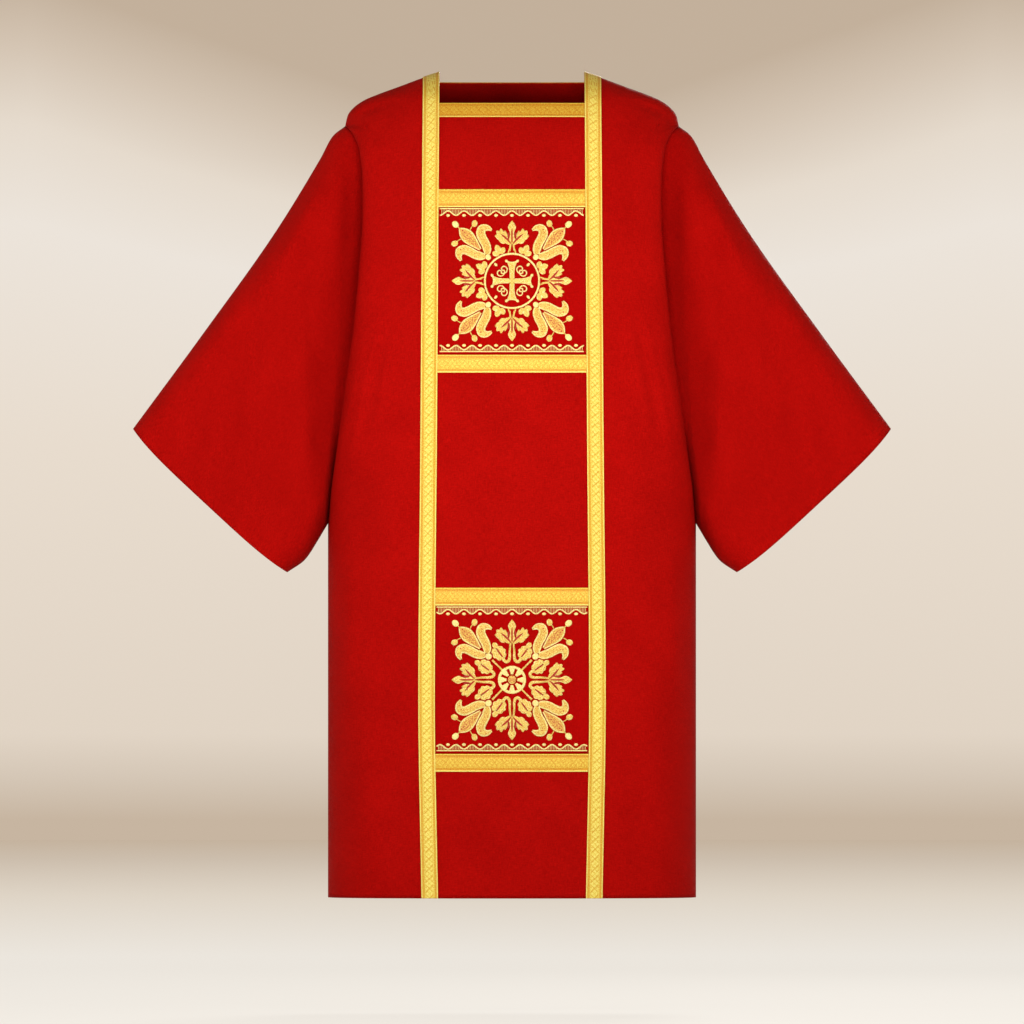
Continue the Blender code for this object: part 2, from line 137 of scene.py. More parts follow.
# Heights of the cross braids and squares, top edge and bottom edge
Band = namedtuple("Band", "name side top bottom")
CROSS_BRAIDS = [
    Band("neck_braid_front", "front", FRONT_NECK_Z, -0.072),
    Band("neck_braid_back", "back", BACK_NECK_Z, -0.038),
    Band("cross_braid_1", "front", -0.186, -0.214),
    Band("cross_braid_2", "front", -0.446, -0.474),
    Band("cross_braid_3", "front", -0.812, -0.840),
    Band("cross_braid_4", "front", -1.073, -1.101),
]
SQUARES = [
    Band("medallion_square_upper", "front", -0.214, -0.446),
    Band("medallion_square_lower", "front", -0.840, -1.073),
]

# Soft upright folds: where each starts and ends, how wide it is and how far it stands out. A fold
# fades over a share of its length at each end, and where the cloth comes near its section's middle.
# One that ends below the hem runs out through it. The first dozen are in the part too, and the
# shallow ones after them are creases that only show here
Fold = namedtuple("Fold", "side x_top z_top x_low z_low width height")
FOLDS = [
    Fold("front", 0.214, -0.330, 0.262, -0.690, 0.024, 0.0050),
    Fold("front", 0.176, -0.400, 0.205, -0.860, 0.030, 0.0045),
    Fold("front", 0.232, -0.760, 0.236, -1.420, 0.040, 0.0070),
    Fold("front", 0.000, -0.560, 0.000, -1.420, 0.070, 0.0040),
    Fold("back", 0.205, -0.200, 0.252, -0.740, 0.030, 0.0070),
    Fold("back", 0.070, -0.300, 0.078, -1.420, 0.042, 0.0080),
    Fold("back", 0.190, -0.620, 0.205, -1.420, 0.040, 0.0090),
    Fold("sleeve_front", 0.352, -0.190, 0.346, -0.680, 0.034, 0.0060),
    Fold("sleeve_front", 0.418, -0.270, 0.410, -0.640, 0.022, -0.0050),
    Fold("sleeve_front", 0.480, -0.380, 0.462, -0.760, 0.036, 0.0060),
    Fold("sleeve_back", 0.345, -0.150, 0.335, -0.740, 0.040, 0.0065),
    Fold("sleeve_back", 0.455, -0.320, 0.440, -0.780, 0.042, 0.0060),
    Fold("front", 0.228, -0.385, 0.279, -0.640, 0.010, 0.0062),
    Fold("front", 0.203, -0.360, 0.260, -0.625, 0.009, 0.0048),
    Fold("front", 0.178, -0.370, 0.224, -0.600, 0.012, 0.0056),
    Fold("front", 0.165, -0.120, 0.182, -0.330, 0.016, 0.0016),
    Fold("front", 0.250, -0.700, 0.262, -1.060, 0.014, 0.0030),
    Fold("front", 0.172, -0.900, 0.168, -1.290, 0.018, 0.0022),
    Fold("back", 0.225, -0.380, 0.272, -0.680, 0.013, 0.0026),
    Fold("back", 0.030, -0.180, 0.020, -0.620, 0.022, 0.0024),
    Fold("back", 0.120, -0.500, 0.138, -1.120, 0.020, 0.0028),
    Fold("back", 0.245, -0.820, 0.252, -1.400, 0.018, 0.0026),
    Fold("sleeve_front", 0.300, -0.165, 0.372, -0.330, 0.011, 0.0034),
    Fold("sleeve_front", 0.330, -0.300, 0.322, -0.700, 0.012, 0.0032),
    Fold("sleeve_front", 0.392, -0.300, 0.384, -0.620, 0.013, 0.0020),
    Fold("sleeve_front", 0.520, -0.480, 0.498, -0.700, 0.014, 0.0018),
    Fold("sleeve_back", 0.385, -0.240, 0.388, -0.700, 0.013, 0.0026),
    Fold("sleeve_back", 0.500, -0.440, 0.486, -0.740, 0.015, 0.0024),
]
FOLD_END = 0.35
FOLD_FADE = 0.050
EASE_SIDE = 0.040
EASE_HIGH, EASE_LOW = -0.035, -0.170
EASE_END = 0.035
EASE_STEPS = np.linspace(-0.024, 0.024, 9)

# How the cloth outside the braid is divided, as in the part: columns at the shoulder, then a few
# round the fold beside the arm
SHOULDER_COLUMNS = [0.140, 0.163, 0.184, 0.204, 0.223, 0.240, 0.2525, 0.2585, 0.2615, 0.263]
FOLD_CELLS = 4
FOLD_REACH = 0.026
TIP_BLEND = 0.040
SECTION_SAMPLES = 160
RETURN_SAMPLES = 16
RETURN_CORNER = 0.35
EDGE_COLUMN = len(SHOULDER_COLUMNS) - 1 - FOLD_CELLS
LAST_COLUMN = len(SHOULDER_COLUMNS) - 1


def smooth_curve(rows, key, value):
    """A function that runs smoothly through one column of a table, with no overshoot between its rows."""
    pairs = sorted((getattr(row, key), getattr(row, value)) for row in rows)
    xs, ys = (np.array(numbers) for numbers in zip(*pairs))
    steps = np.diff(xs)
    slopes = np.diff(ys) / steps
    tangents = [slopes[0]]
    for left, right in zip(slopes, slopes[1:]):
        tangents.append(2 * left * right / (left + right) if left * right > 0 else 0.0)
    tangents = np.array(tangents + [slopes[-1]])

    def at(x):
        x = np.clip(x, xs[0], xs[-1])
        i = np.clip(np.searchsorted(xs, x, side="right") - 1, 0, len(steps) - 1)
        h = steps[i]
        t = (x - xs[i]) / h
        start = (1 + 2 * t) * (1 - t) ** 2 * ys[i] + t * t * (3 - 2 * t) * ys[i + 1]
        return start + h * (t * (1 - t) ** 2 * tangents[i] - t * t * (1 - t) * tangents[i + 1])

    return at


def ease(t):
    """0 below 0, 1 above 1, and smooth between."""
    t = np.clip(t, 0.0, 1.0)
    return t * t * (3 - 2 * t)


def mix(a, b, t):
    return a + (b - a) * t


shoulder_x = smooth_curve(SHOULDERS, "z", "x")
depth_of = {side: smooth_curve(DEPTHS, "z", side) for side in ("front", "back")}
armhole = {name: smooth_curve(ARMHOLE, "z", name) for name in Armhole._fields[1:]}
sleeve = {name: smooth_curve(SLEEVE, "s", name) for name in Sleeve._fields[1:]}
braid_x = smooth_curve(BRAID_LINE, "z", "x")
SHOULDER_HEIGHTS = np.linspace(0.0, TIP_Z, 4000)
SHOULDER_REACH = shoulder_x(SHOULDER_HEIGHTS)


def shoulder_z(x):
    """Height of the shoulder outline at a distance x from the middle."""
    return np.interp(x, SHOULDER_REACH, SHOULDER_HEIGHTS)


def edge_at(z):
    """Half width of the section at a height, and how far its side stands off the middle line."""
    beside_arm = (z < TIP_Z) & (z > UNDERARM_Z)
    edge_x = np.where(z >= TIP_Z, shoulder_x(z), np.where(beside_arm, armhole["edge_x"](z), SIDE_X))
    return edge_x, np.where(beside_arm, armhole["edge_y"](z), 0.0)


def fold_out(side, x, z):
    """How far the soft folds push the cloth out at (x, z)."""
    out = np.zeros(np.broadcast(x, z).shape)
    for fold in FOLDS:
        if fold.side != side:
            continue
        down = (fold.z_top - z) / (fold.z_top - fold.z_low)
        off = (np.abs(x) - mix(fold.x_top, fold.x_low, down)) / fold.width
        fade = ease(down / FOLD_END) * ease((1 - down) / FOLD_END)
        out = out + fold.height * fade * np.exp(-off * off)
    return out


def section_y(side, x, z):
    """How far a panel stands off the middle line, before its folds."""
    edge_x, edge_y = edge_at(z)
    share = np.minimum(np.abs(x) / edge_x, 1.0)
    round_off = (1 - share**SECTION_POWER) ** (1 / SECTION_POWER)
    return edge_y + (depth_of[side](z) - edge_y) * round_off


def shoulder_ease(side, x, z):
    """Rounds the line where the armhole starts, which is sharper in the section's own shape."""
    near = ease((edge_at(z)[0] - np.abs(x)) / EASE_SIDE) * ease((z - EASE_LOW) / EASE_END)
    near = near * ease((EASE_HIGH - z) / EASE_END)
    around = sum(section_y(side, x, z + step) for step in EASE_STEPS) / len(EASE_STEPS)
    return near * (around - section_y(side, x, z))


def panel_point(side, x, y, z):
    """The finished points for places on a section."""
    y = y + fold_out(side, x, z) * ease(y / FOLD_FADE) + shoulder_ease(side, x, z)
    return np.stack(np.broadcast_arrays(x, -y if side == "front" else y, z), axis=-1)


def cloth_at(side, x, z):
    """Points of a panel inside its fold edges, by distance from the middle and height."""
    return panel_point(side, x, section_y(side, x, z), z)


class OuterCloth:
    """Points of a panel between the braid and its seam, by column as in the part and height."""

    turn = np.linspace(0, math.pi / 2, SECTION_SAMPLES + 1)
    side_share = np.sin(turn) ** (2 / SECTION_POWER)
    deep_share = np.clip(np.cos(turn), 0, None) ** (2 / SECTION_POWER)
    back_share = np.arange(1, RETURN_SAMPLES + 1) / RETURN_SAMPLES

    def __init__(self, side):
        self.side = side
        along, x, _ = self.walk(TIP_Z)
        self.tip_reach = along[-1]
        self.tip_edge = float(np.interp(SHOULDER_COLUMNS[EDGE_COLUMN], x, along))
        self.tip_place = np.interp(SHOULDER_COLUMNS, x, along)

    def walk(self, z):
        """Distances along a section from the braid's outer edge, with the section's points."""
        edge_x, edge_y = (float(value) for value in edge_at(z))
        deep = float(depth_of[self.side](z))
        x = edge_x * self.side_share
        y = edge_y + (deep - edge_y) * self.deep_share
        if edge_y > 0:
            seam_x, seam_y = float(armhole["seam_x"](z)), float(armhole["seam_y"](z))
            t = self.back_share
            corner_y = mix(seam_y, edge_y, RETURN_CORNER)
            x = np.concatenate([x, (1 - t * t) * edge_x + t * t * seam_x])
            y = np.concatenate([y, (1 - t) ** 2 * edge_y + 2 * t * (1 - t) * corner_y + t * t * seam_y])
        along = np.concatenate([[0.0], np.cumsum(np.hypot(np.diff(x), np.diff(y)))])
        passed = int(np.argmax(x >= braid_x(z) + BRAID_WIDTH))
        share = (braid_x(z) + BRAID_WIDTH - x[passed - 1]) / (x[passed] - x[passed - 1])
        return along - mix(along[passed - 1], along[passed], share), x, y

    def at(self, column, z):
        """Distance from the middle and from the middle line, before the folds."""
        top_x = float(np.interp(column, range(LAST_COLUMN + 1), SHOULDER_COLUMNS))
        if z >= TIP_Z:
            x = min(top_x, float(shoulder_x(z)))
            return x, float(section_y(self.side, x, z))
        tip_place = float(np.interp(column, range(LAST_COLUMN + 1), self.tip_place))
        below = float(ease((TIP_Z - z) / TIP_BLEND))
        along, x, y = self.walk(z)
        tip_fold = self.tip_reach - self.tip_edge
        reach = max(along[-1] - along[SECTION_SAMPLES], mix(tip_fold, FOLD_REACH, below))
        edge = along[-1] - reach
        if column <= EDGE_COLUMN:
            even = column / EDGE_COLUMN
            spread = float(ease((TIP_Z - z) / FLARE_DEPTH))
            place = edge * mix(tip_place / self.tip_edge, even, spread)
        else:
            even = (column - EDGE_COLUMN) / FOLD_CELLS
            place = edge + reach * mix((tip_place - self.tip_edge) / tip_fold, even, below)
        return float(np.interp(place, along, x)), float(np.interp(place, along, y))


def spaced(start, end, step):
    """Even places from start to end, about a step apart."""
    return np.linspace(start, end, max(2, round(abs(end - start) / step) + 1))


# Fine mesh lines: shares along a sleeve, then levels down the body, closer near the shoulder and the
# underarm, and places across it
SLEEVE_FINE = np.concatenate([np.linspace(0, 0.12, 12, endpoint=False), np.linspace(0.12, 1, 74)])
RIDGE_ROWS = 16
RIDGE_DEPTH = 0.030
ROW_STEP = 0.0072
SHOULDER_LEVELS = -RIDGE_DEPTH * np.linspace(0, 1, RIDGE_ROWS + 1) ** 2
UNDERARM_CLOSE = 0.012 * np.linspace(0, 1, 6) ** 2
FINE_LEVELS = np.unique(np.round(np.concatenate([
    SHOULDER_LEVELS,
    [BACK_NECK_Z],
    spaced(-RIDGE_DEPTH, FRONT_NECK_Z, ROW_STEP),
    spaced(FRONT_NECK_Z, UNDERARM_LEVEL + UNDERARM_CLOSE[-1], ROW_STEP),
    UNDERARM_LEVEL + UNDERARM_CLOSE,
    spaced(UNDERARM_LEVEL, -LENGTH, ROW_STEP),
]), 6))[::-1]
MIDDLE_PLACES = 20
BRAID_PLACES = 5
MAIN_PLACES = 45
RETURN_PLACES = 12
# Places across half a panel: 0 to 1 up to the braid, 1 to 2 under it, then 2 and on by column
PLACES = np.concatenate([
    np.linspace(0, 1, MIDDLE_PLACES, endpoint=False),
    np.linspace(1, 2, BRAID_PLACES, endpoint=False),
    2 + np.linspace(0, EDGE_COLUMN, MAIN_PLACES, endpoint=False),
    2 + np.linspace(EDGE_COLUMN, LAST_COLUMN, RETURN_PLACES + 1),
])


def top_x_at(place):
    """Distance from the middle at which a place across the panel meets the shoulder."""
    if place <= 2:
        return float(braid_x(0.0)) + BRAID_WIDTH * max(place - 1, 0.0)
    return float(np.interp(place - 2, range(LAST_COLUMN + 1), SHOULDER_COLUMNS))


def level_z(place, level):
    """Height of a mesh line at a place across: lines start at the shoulder and level out at the hem."""
    return mix(shoulder_z(top_x_at(place)), -LENGTH, -level / LENGTH)


def half_panel(side):
    """Points of one half of a panel, as rows by places."""
    outer = OuterCloth(side)
    rows = len(FINE_LEVELS)
    half = np.zeros((rows, len(PLACES), 3))
    for j, place in enumerate(PLACES):
        z = level_z(place, FINE_LEVELS)
        if place <= 1:
            half[:, j] = cloth_at(side, braid_x(FINE_LEVELS) * place, FINE_LEVELS)
        elif place <= 2:
            half[:, j] = cloth_at(side, braid_x(z) + BRAID_WIDTH * (place - 1), z)
        else:
            x, y = np.array([outer.at(place - 2, float(height)) for height in z]).T
            half[:, j] = panel_point(side, x, y, z)
        half[0, j] = (half[0, j, 0], 0.0, z[0])
    return half


def tone_attribute(mesh, tones):
    layer = mesh.attributes.new("tone", "FLOAT", "POINT")
    layer.data.foreach_set("value", np.asarray(tones, np.float32).ravel())


def build_mesh(name, points, faces, uv, materials, tones=None, uv_faces=None):
    """A smooth mesh object that rides on the part's one body. Where a grid closes on itself, uv_faces
    gives the corners' numbers before they wrap round."""
    mesh = bpy.data.meshes.new(name)
    mesh.from_pydata(np.asarray(points).reshape(-1, 3).tolist(), [], [tuple(face) for face in faces])
    layer = mesh.uv_layers.new(name="cloth")
    corners = list(chain.from_iterable(faces if uv_faces is None else uv_faces))
    layer.data.foreach_set("uv", np.asarray(uv, np.float32).reshape(-1, 2)[corners].ravel())
    for material in materials:
        mesh.materials.append(material)
    if tones is not None:
        tone_attribute(mesh, tones)
    mesh.shade_smooth()
    piece = bpy.data.objects.new(name, mesh)
    bpy.context.scene.collection.objects.link(piece)
    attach(piece, "root")
    return piece


def grid_faces(rows, columns, keep=None, turned=False):
    """Quads of a grid of points, and only those whose (row, column) is kept."""
    number = np.arange(rows * columns).reshape(rows, columns)
    faces = np.stack([number[:-1, :-1], number[1:, :-1], number[1:, 1:], number[:-1, 1:]], axis=-1)
    if turned:
        faces = faces[..., ::-1]
    faces = faces.reshape(-1, 4)
    return faces if keep is None else faces[keep.ravel()]


def add_wall(piece):
    """The cloth's wall, inside its outer face."""
    wall = piece.modifiers.new("wall", "SOLIDIFY")
    wall.thickness = CLOTH
    wall.offset = -1.0
    wall.use_quality_normals = True


def cloth_uv(rows):
    """Across and down in metres, so that the weave keeps its size all over."""
    across = np.linalg.norm(np.diff(rows, axis=1), axis=2)
    u = np.concatenate([np.zeros((rows.shape[0], 1)), np.cumsum(across, axis=1)], axis=1)
    u = u - u[:, u.shape[1] // 2][:, None]
    down = np.linalg.norm(np.diff(rows, axis=0), axis=2)
    v = np.concatenate([np.zeros((1, rows.shape[1])), np.cumsum(down, axis=0)], axis=0)
    return np.stack([u, v], axis=-1)


def make_panel(side, half):
    """The front or the back as one cut piece, from its armhole and side seams to the hem."""
    other = half[:, :0:-1] * np.array([-1.0, 1.0, 1.0])
    rows = np.concatenate([other, half], axis=1)
    places = np.concatenate([-PLACES[:0:-1], PLACES])
    neck = {"front": FRONT_NECK_Z, "back": BACK_NECK_Z}[side]
    cell_place = np.abs((places[1:] + places[:-1]) / 2)
    keep = (FINE_LEVELS[:-1, None] < neck + 1e-6) | (cell_place[None, :] > 1)
    faces = grid_faces(*rows.shape[:2], keep=keep, turned=side == "back")
    piece = build_mesh(f"{side}_panel_cloth", rows, faces, cloth_uv(rows), [red_cloth])
    drop_loose(piece)
    add_wall(piece)
    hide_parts(f"{side}_panel")
    return piece


def drop_loose(piece):
    """Points that no face uses go, as in the neck opening."""
    mesh = piece.data
    used = np.zeros(len(mesh.vertices), bool)
    corners = np.zeros(len(mesh.loops), np.int32)
    mesh.loops.foreach_get("vertex_index", corners)
    used[corners] = True
    edit = bmesh.new()
    edit.from_mesh(mesh)
    edit.verts.ensure_lookup_table()
    loose = [edit.verts[i] for i in np.flatnonzero(~used)]
    bmesh.ops.delete(edit, geom=loose, context="VERTS")
    edit.to_mesh(mesh)
    edit.free()


def sleeve_points(s, t, face, seam):
    """Points of the sleeve at +X: s out from the armhole, t down it, face -1 in front and 1 behind."""
    top = np.array([sleeve["top_x"](s), sleeve["top_z"](s)])
    low = np.array([sleeve["low_x"](s), sleeve["low_z"](s)])
    down = low - top
    out = np.array([-down[1], down[0]]) / np.linalg.norm(down)
    bow = CUFF_BOW * ease(s / BOW_REACH) * (1 - (2 * t - 1) ** 4)
    place = top + down * t[:, None] + out * bow[:, None]
    start_x = mix(SLEEVE[0].top_x, SLEEVE[0].low_x, t)
    start_z = mix(TIP_Z, UNDERARM_Z, t)
    shift = np.stack([seam[:, 0] - start_x, seam[:, 2] - start_z], axis=1)
    place = place + shift * (1 - s) ** 3
    tube = mix(sleeve["upper"](s), sleeve["lower"](s), ease(t))
    tube = tube * np.sqrt(1 - (1 - np.minimum(t / TOP_ROUND, 1)) ** 2)
    tube = tube * np.sqrt(1 - (1 - np.minimum((1 - t) / LOW_ROUND, 1)) ** 2)
    grown = 1 - (1 - min(s / SLEEVE_BELLY, 1)) ** 2
    half = mix(np.abs(seam[:, 1]), tube, grown)
    folds = fold_out("sleeve_front" if face < 0 else "sleeve_back", place[:, 0], place[:, 1])
    half = half + folds * grown * ease(half / FOLD_FADE)
    return np.stack([place[:, 0], face * half - sleeve["lean"](s), place[:, 1]], axis=1)


def make_sleeve(mirror, name, front, back):
    """A sleeve as a loop of lines from the armhole seam to the cuff, closed under the arm."""
    rows = int(np.argmin(np.abs(FINE_LEVELS - UNDERARM_LEVEL))) + 1
    seams = {-1: front[:rows, -1], 1: back[:rows, -1]}
    sheets = []
    for face, seam in seams.items():
        t = np.clip((TIP_Z - seam[:, 2]) / (TIP_Z - UNDERARM_Z), 0.0, 1.0)
        lines = [seam] + [sleeve_points(s, t, face, seam) for s in SLEEVE_FINE[1:]]
        sheets.append(np.stack(lines, axis=1))
    loop = np.concatenate([sheets[0], sheets[1][-2:0:-1]]) * np.array([mirror, 1.0, 1.0])
    closed = np.concatenate([loop, loop[:1]])
    faces = grid_faces(*closed.shape[:2], turned=mirror < 0)
    count = loop.shape[0] * loop.shape[1]
    uv = cloth_uv(closed.transpose(1, 0, 2)).transpose(1, 0, 2)
    piece = build_mesh(f"{name}_cloth", loop, faces % count, uv, [red_cloth], uv_faces=faces)
    add_wall(piece)
    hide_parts(name)
    return piece


# The braid, across from its middle: a plait of crossing strands, a fine cord, a satin band and the
# cord along the edge
PLAIT_HALF = 0.0062
PLAIT_PITCH = 0.00775
PLAIT_RISE = 0.00050
FINE_CORD = 0.0071
SATIN_RISE = 0.00018
EDGE_CORD = 0.0120
CORD_HALF = 0.0010
CORD_RISE = 0.00045
STROKE_HALF = 0.00055
# The dark strokes in the plait's gaps are painted shade, deeper on the uprights than on the cross braids,
# and the plait's low and high tones are painted shade from groove to crest
UPRIGHT_STROKE, CROSS_STROKE = 1.0, 0.40
PLAIT_LOW, PLAIT_HIGH = 0.46, 0.98
SATIN_TONE = 0.44
CORD_TONE = 0.97
# Painted shade on the neck braids, which tilt back from the light, and on the cross braids, which the front
# light catches more strongly; all but their lower cord is darkened
NECK_PAINTED_SHADE, CROSS_PAINTED_SHADE = 0.59, 0.70
EYE_PLACE = 0.0053
EYE_SIZE = 0.0006
BRAID_BASE = 0.0009
BRAID_ROW = 0.0016
BRAID_HALF = 0.013
PLAIT_COLUMNS = 15
BRAID_EDGE = [0.0065, 0.0071, 0.0077, 0.0082, 0.0105, 0.0110, 0.0115, 0.0121, 0.0127, 0.0130]
BRAID_COLUMNS = np.concatenate([
    -np.array(BRAID_EDGE[::-1]), np.linspace(-PLAIT_HALF, PLAIT_HALF, PLAIT_COLUMNS), BRAID_EDGE
])
LAID_GAP = 0.0003
SQUARE_CELL = 0.004
SQUARE_COLUMNS = 59
SQUARE_RISE = 0.0008


def plait(u, v, stroke):
    """Height share and tone of the plait at u across from the braid's middle and v along it.

    The tone is painted shade: lower in the plait's grooves and higher on its crests. Every second gap
    between the strands that rise with u is a dark stroke of painted shade, as deep as stroke says, and the
    eyes by the plait's edges are dark spots of painted shade.
    """
    a, b = (v + u) / PLAIT_PITCH, (v - u) / PLAIT_PITCH
    fa, fb = a - np.floor(a) - 0.5, b - np.floor(b) - 0.5
    over = (np.floor(a) + np.floor(b)) % 2 == 0
    across, along = np.where(over, fb, fa), np.where(over, fa, fb)
    body = np.sqrt(np.clip(1 - (2 * across) ** 2, 0, 1))
    cords = np.sqrt(np.clip(1 - (4 * (np.abs(across) - 0.25)) ** 2, 0, 1))
    height = (1 - 0.5 * (2 * along) ** 2) * (0.5 * body + 0.5 * cords)
    gap, cross = (np.abs(c / 2 - np.round(c / 2)) * 2 * PLAIT_PITCH / math.sqrt(2) for c in (b, a))
    eye = np.hypot(np.abs(u) - EYE_PLACE, (v / PLAIT_PITCH * 2 % 1 - 0.5) * PLAIT_PITCH / 2)
    # Painted shade in the gaps between the strands, and at the eyes in the holes by the plait's edges
    dark = np.maximum(np.exp(-((gap / STROKE_HALF) ** 2)), 0.4 * np.exp(-((cross / STROKE_HALF) ** 2)))
    dark = dark * (np.abs(u) < EYE_PLACE + 0.0003)
    dark = np.maximum(dark, 0.7 * np.exp(-((eye / EYE_SIZE) ** 2)))
    # Painted shade: the plait is darker where it lies low and lighter on its crests
    tone = PLAIT_LOW + (PLAIT_HIGH - PLAIT_LOW) * height
    return height * (1 - stroke * dark), tone * (1 - 0.8 * stroke * dark)


def braid_relief(u, v, stroke):
    """Height above the braid's base and tone, for a braid of the usual width."""
    height, tone = plait(u, v, stroke)
    height = height * PLAIT_RISE
    off = np.abs(u)
    satin = off > PLAIT_HALF + 1e-6
    height = np.where(satin, SATIN_RISE, height)
    tone = np.where(satin, SATIN_TONE, tone)
    for middle, half in ((FINE_CORD, 0.0006), (EDGE_CORD, CORD_HALF)):
        dome = np.sqrt(np.clip(1 - ((off - middle) / half) ** 2, 0, 1))
        height = np.maximum(height, dome * CORD_RISE)
        tone = mix(tone, CORD_TONE, dome)
    return height, tone


def grid_normals(grid, outward):
    """Unit normals of a grid of points, on the side that outward points to at its first corner."""
    down = np.gradient(grid, axis=0)
    across = np.gradient(grid, axis=1)
    normals = np.cross(down, across)
    normals /= np.linalg.norm(normals, axis=2)[..., None]
    return normals if normals[0, 0] @ np.array(outward) > 0 else -normals


def laid_body(grid, normals, lift, base_columns=(0, -1)):
    """A closed body just off a grid: its points, its faces and the grid's point that each point is from.

    The base only takes the given columns of the grid, which is enough under a narrow piece.
    """
    rows, columns = grid.shape[:2]
    number = np.arange(rows * columns).reshape(rows, columns)
    source = np.concatenate([number.ravel(), number[:, base_columns].ravel()])
    low = rows * columns + np.arange(rows * len(base_columns)).reshape(rows, -1)
    top = grid + normals * (LAID_GAP + lift)[..., None]
    base = (grid + normals * LAID_GAP)[:, base_columns]
    points = np.concatenate([top.reshape(-1, 3), base.reshape(-1, 3)])
    faces = np.concatenate([
        grid_faces(rows, columns),
        np.stack([number[1:, 0], number[:-1, 0], low[:-1, 0], low[1:, 0]], axis=1),
        np.stack([number[:-1, -1], number[1:, -1], low[1:, -1], low[:-1, -1]], axis=1),
        grid_faces(*low.shape)[:, ::-1] + rows * columns,
    ]).tolist()
    faces += [[*number[0], *low[0, ::-1]], [*number[-1, ::-1], *low[-1]]]
    # The way round the first face is checked against the normals, so that every face looks out
    a, b, c = points[faces[0][:3]]
    if np.cross(b - a, c - a) @ normals[0, 0] < 0:
        faces = [face[::-1] for face in faces]
    return points, faces, source


def make_braid(name, grid, u, outward, scale=1.0, stroke=UPRIGHT_STROKE, painted_shade=1.0):
    """A braid over a grid of cloth points whose rows run along it, u across from its middle.

    The painted shade, a share, darkens all of it but its last cord, which is left as if lit.
    """
    middle = grid[:, grid.shape[1] // 2]
    along = np.concatenate([[0.0], np.cumsum(np.linalg.norm(np.diff(middle, axis=0), axis=1))])
    uu, vv = np.meshgrid(u, along)
    height, tone = braid_relief(uu / scale, vv, stroke)
    # Painted shade over all of the braid but its last cord
    tone = np.where(uu / scale < EDGE_CORD - CORD_HALF, tone * painted_shade, tone)
    points, faces, source = laid_body(grid, grid_normals(grid, outward), BRAID_BASE + height)
    uv = np.stack([uu, vv], axis=-1).reshape(-1, 2)[source]
    piece = build_mesh(name + "_woven", points, faces, uv, [gold_braid], tones=tone.ravel()[source])
    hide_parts(name)
    return piece


def make_upright_braid(mirror, name):
    """One length of braid from the front hem over the shoulder to the back hem."""
    levels = np.concatenate([SHOULDER_LEVELS[:-1], spaced(-RIDGE_DEPTH, -LENGTH, BRAID_ROW)])
    share = (BRAID_COLUMNS + BRAID_HALF) / (2 * BRAID_HALF)
    sides = []
    for side in ("front", "back"):
        half = np.zeros((len(levels), len(share), 3))
        for j, w in enumerate(share):
            z = level_z(1 + w, levels)
            half[:, j] = cloth_at(side, braid_x(z) + BRAID_WIDTH * w, z)
            half[0, j] = (half[0, j, 0], 0.0, z[0])
        sides.append(half)
    grid = np.concatenate([sides[0][::-1], sides[1][1:]]) * np.array([mirror, 1.0, 1.0])
    if mirror < 0:
        grid = grid[:, ::-1]
    return make_braid(name, grid, BRAID_COLUMNS, (0, -1, 0))


def make_cross_braid(band, stroke=CROSS_STROKE, painted_shade=CROSS_PAINTED_SHADE):
    """A straight braid between the two upright ones."""
    width = band.top - band.bottom
    scale = width / (2 * BRAID_HALF)
    z = (band.top + band.bottom) / 2 - BRAID_COLUMNS * scale
    places = np.linspace(-1, 1, round(2 * float(braid_x(band.top)) / BRAID_ROW))
    x = places[:, None] * braid_x(z)[None, :]
    grid = cloth_at(band.side, x, np.broadcast_to(z, x.shape))
    outward = (0, -1, 0) if band.side == "front" else (0, 1, 0)
    return make_braid(band.name, grid, BRAID_COLUMNS * scale, outward, scale, stroke, painted_shade)


def make_square(band):
    """The plain ground of an embroidered square."""
    z = spaced(band.top, band.bottom, SQUARE_CELL)
    places = np.linspace(-1, 1, SQUARE_COLUMNS)
    x = places[None, :] * braid_x(z)[:, None]
    grid = cloth_at("front", x, np.broadcast_to(z[:, None], x.shape))
    normals = grid_normals(grid, (0, -1, 0))
    lift = np.full(grid.shape[:2], SQUARE_RISE)
    points, faces, source = laid_body(grid, normals, lift, base_columns=range(SQUARE_COLUMNS))
    uv = grid[..., [0, 2]].reshape(-1, 2)[source]
    piece = build_mesh(band.name + "_ground", points, faces, uv, [red_square])
    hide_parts(band.name)
    return piece


# Embroidery: domed ribbons of thread, in metres from the square's middle, across and up
STITCH_STEP = 0.0011
STITCH_ACROSS = np.array([-1, -0.88, -0.5, 0, 0.5, 0.88, 1])
STITCH_ROUND = 6
STITCH_BASE = 0.0002
PALE, GOLD, DEEP, AMBER, VEIN = 0.97, 0.62, 0.46, 0.26, -0.7
EDGE_PALE = 0.8
PER_METRE = 1000


def smooth_line(points, values):
    """A smooth line through points a few millimetres apart, with one or more values carried along it."""
    points, values = np.array(points, float), np.array(values, float)
    gaps = np.maximum(np.linalg.norm(np.diff(points, axis=0), axis=1), 1e-6)
    knots = np.concatenate([[0.0], np.cumsum(gaps)])
    count = max(4, round(knots[-1] / STITCH_STEP))
    at = np.linspace(0, knots[-1], count)
    data = np.concatenate([points, values[:, None]], axis=1)
    i = np.clip(np.searchsorted(knots, at, side="right") - 1, 0, len(knots) - 2)
    h = (knots[i + 1] - knots[i])[:, None]
    t = ((at - knots[i]) / h[:, 0])[:, None]
    slopes = np.gradient(data, knots, axis=0)
    line = (
        (1 + 2 * t) * (1 - t) ** 2 * data[i]
        + t * t * (3 - 2 * t) * data[i + 1]
        + h * t * (1 - t) ** 2 * slopes[i]
        - h * t * t * (1 - t) * slopes[i + 1]
    )
    return line[:, :2], np.maximum(line[:, 2], 0.0001)


Ribbon = namedtuple("Ribbon", "line half_widths rise tone")


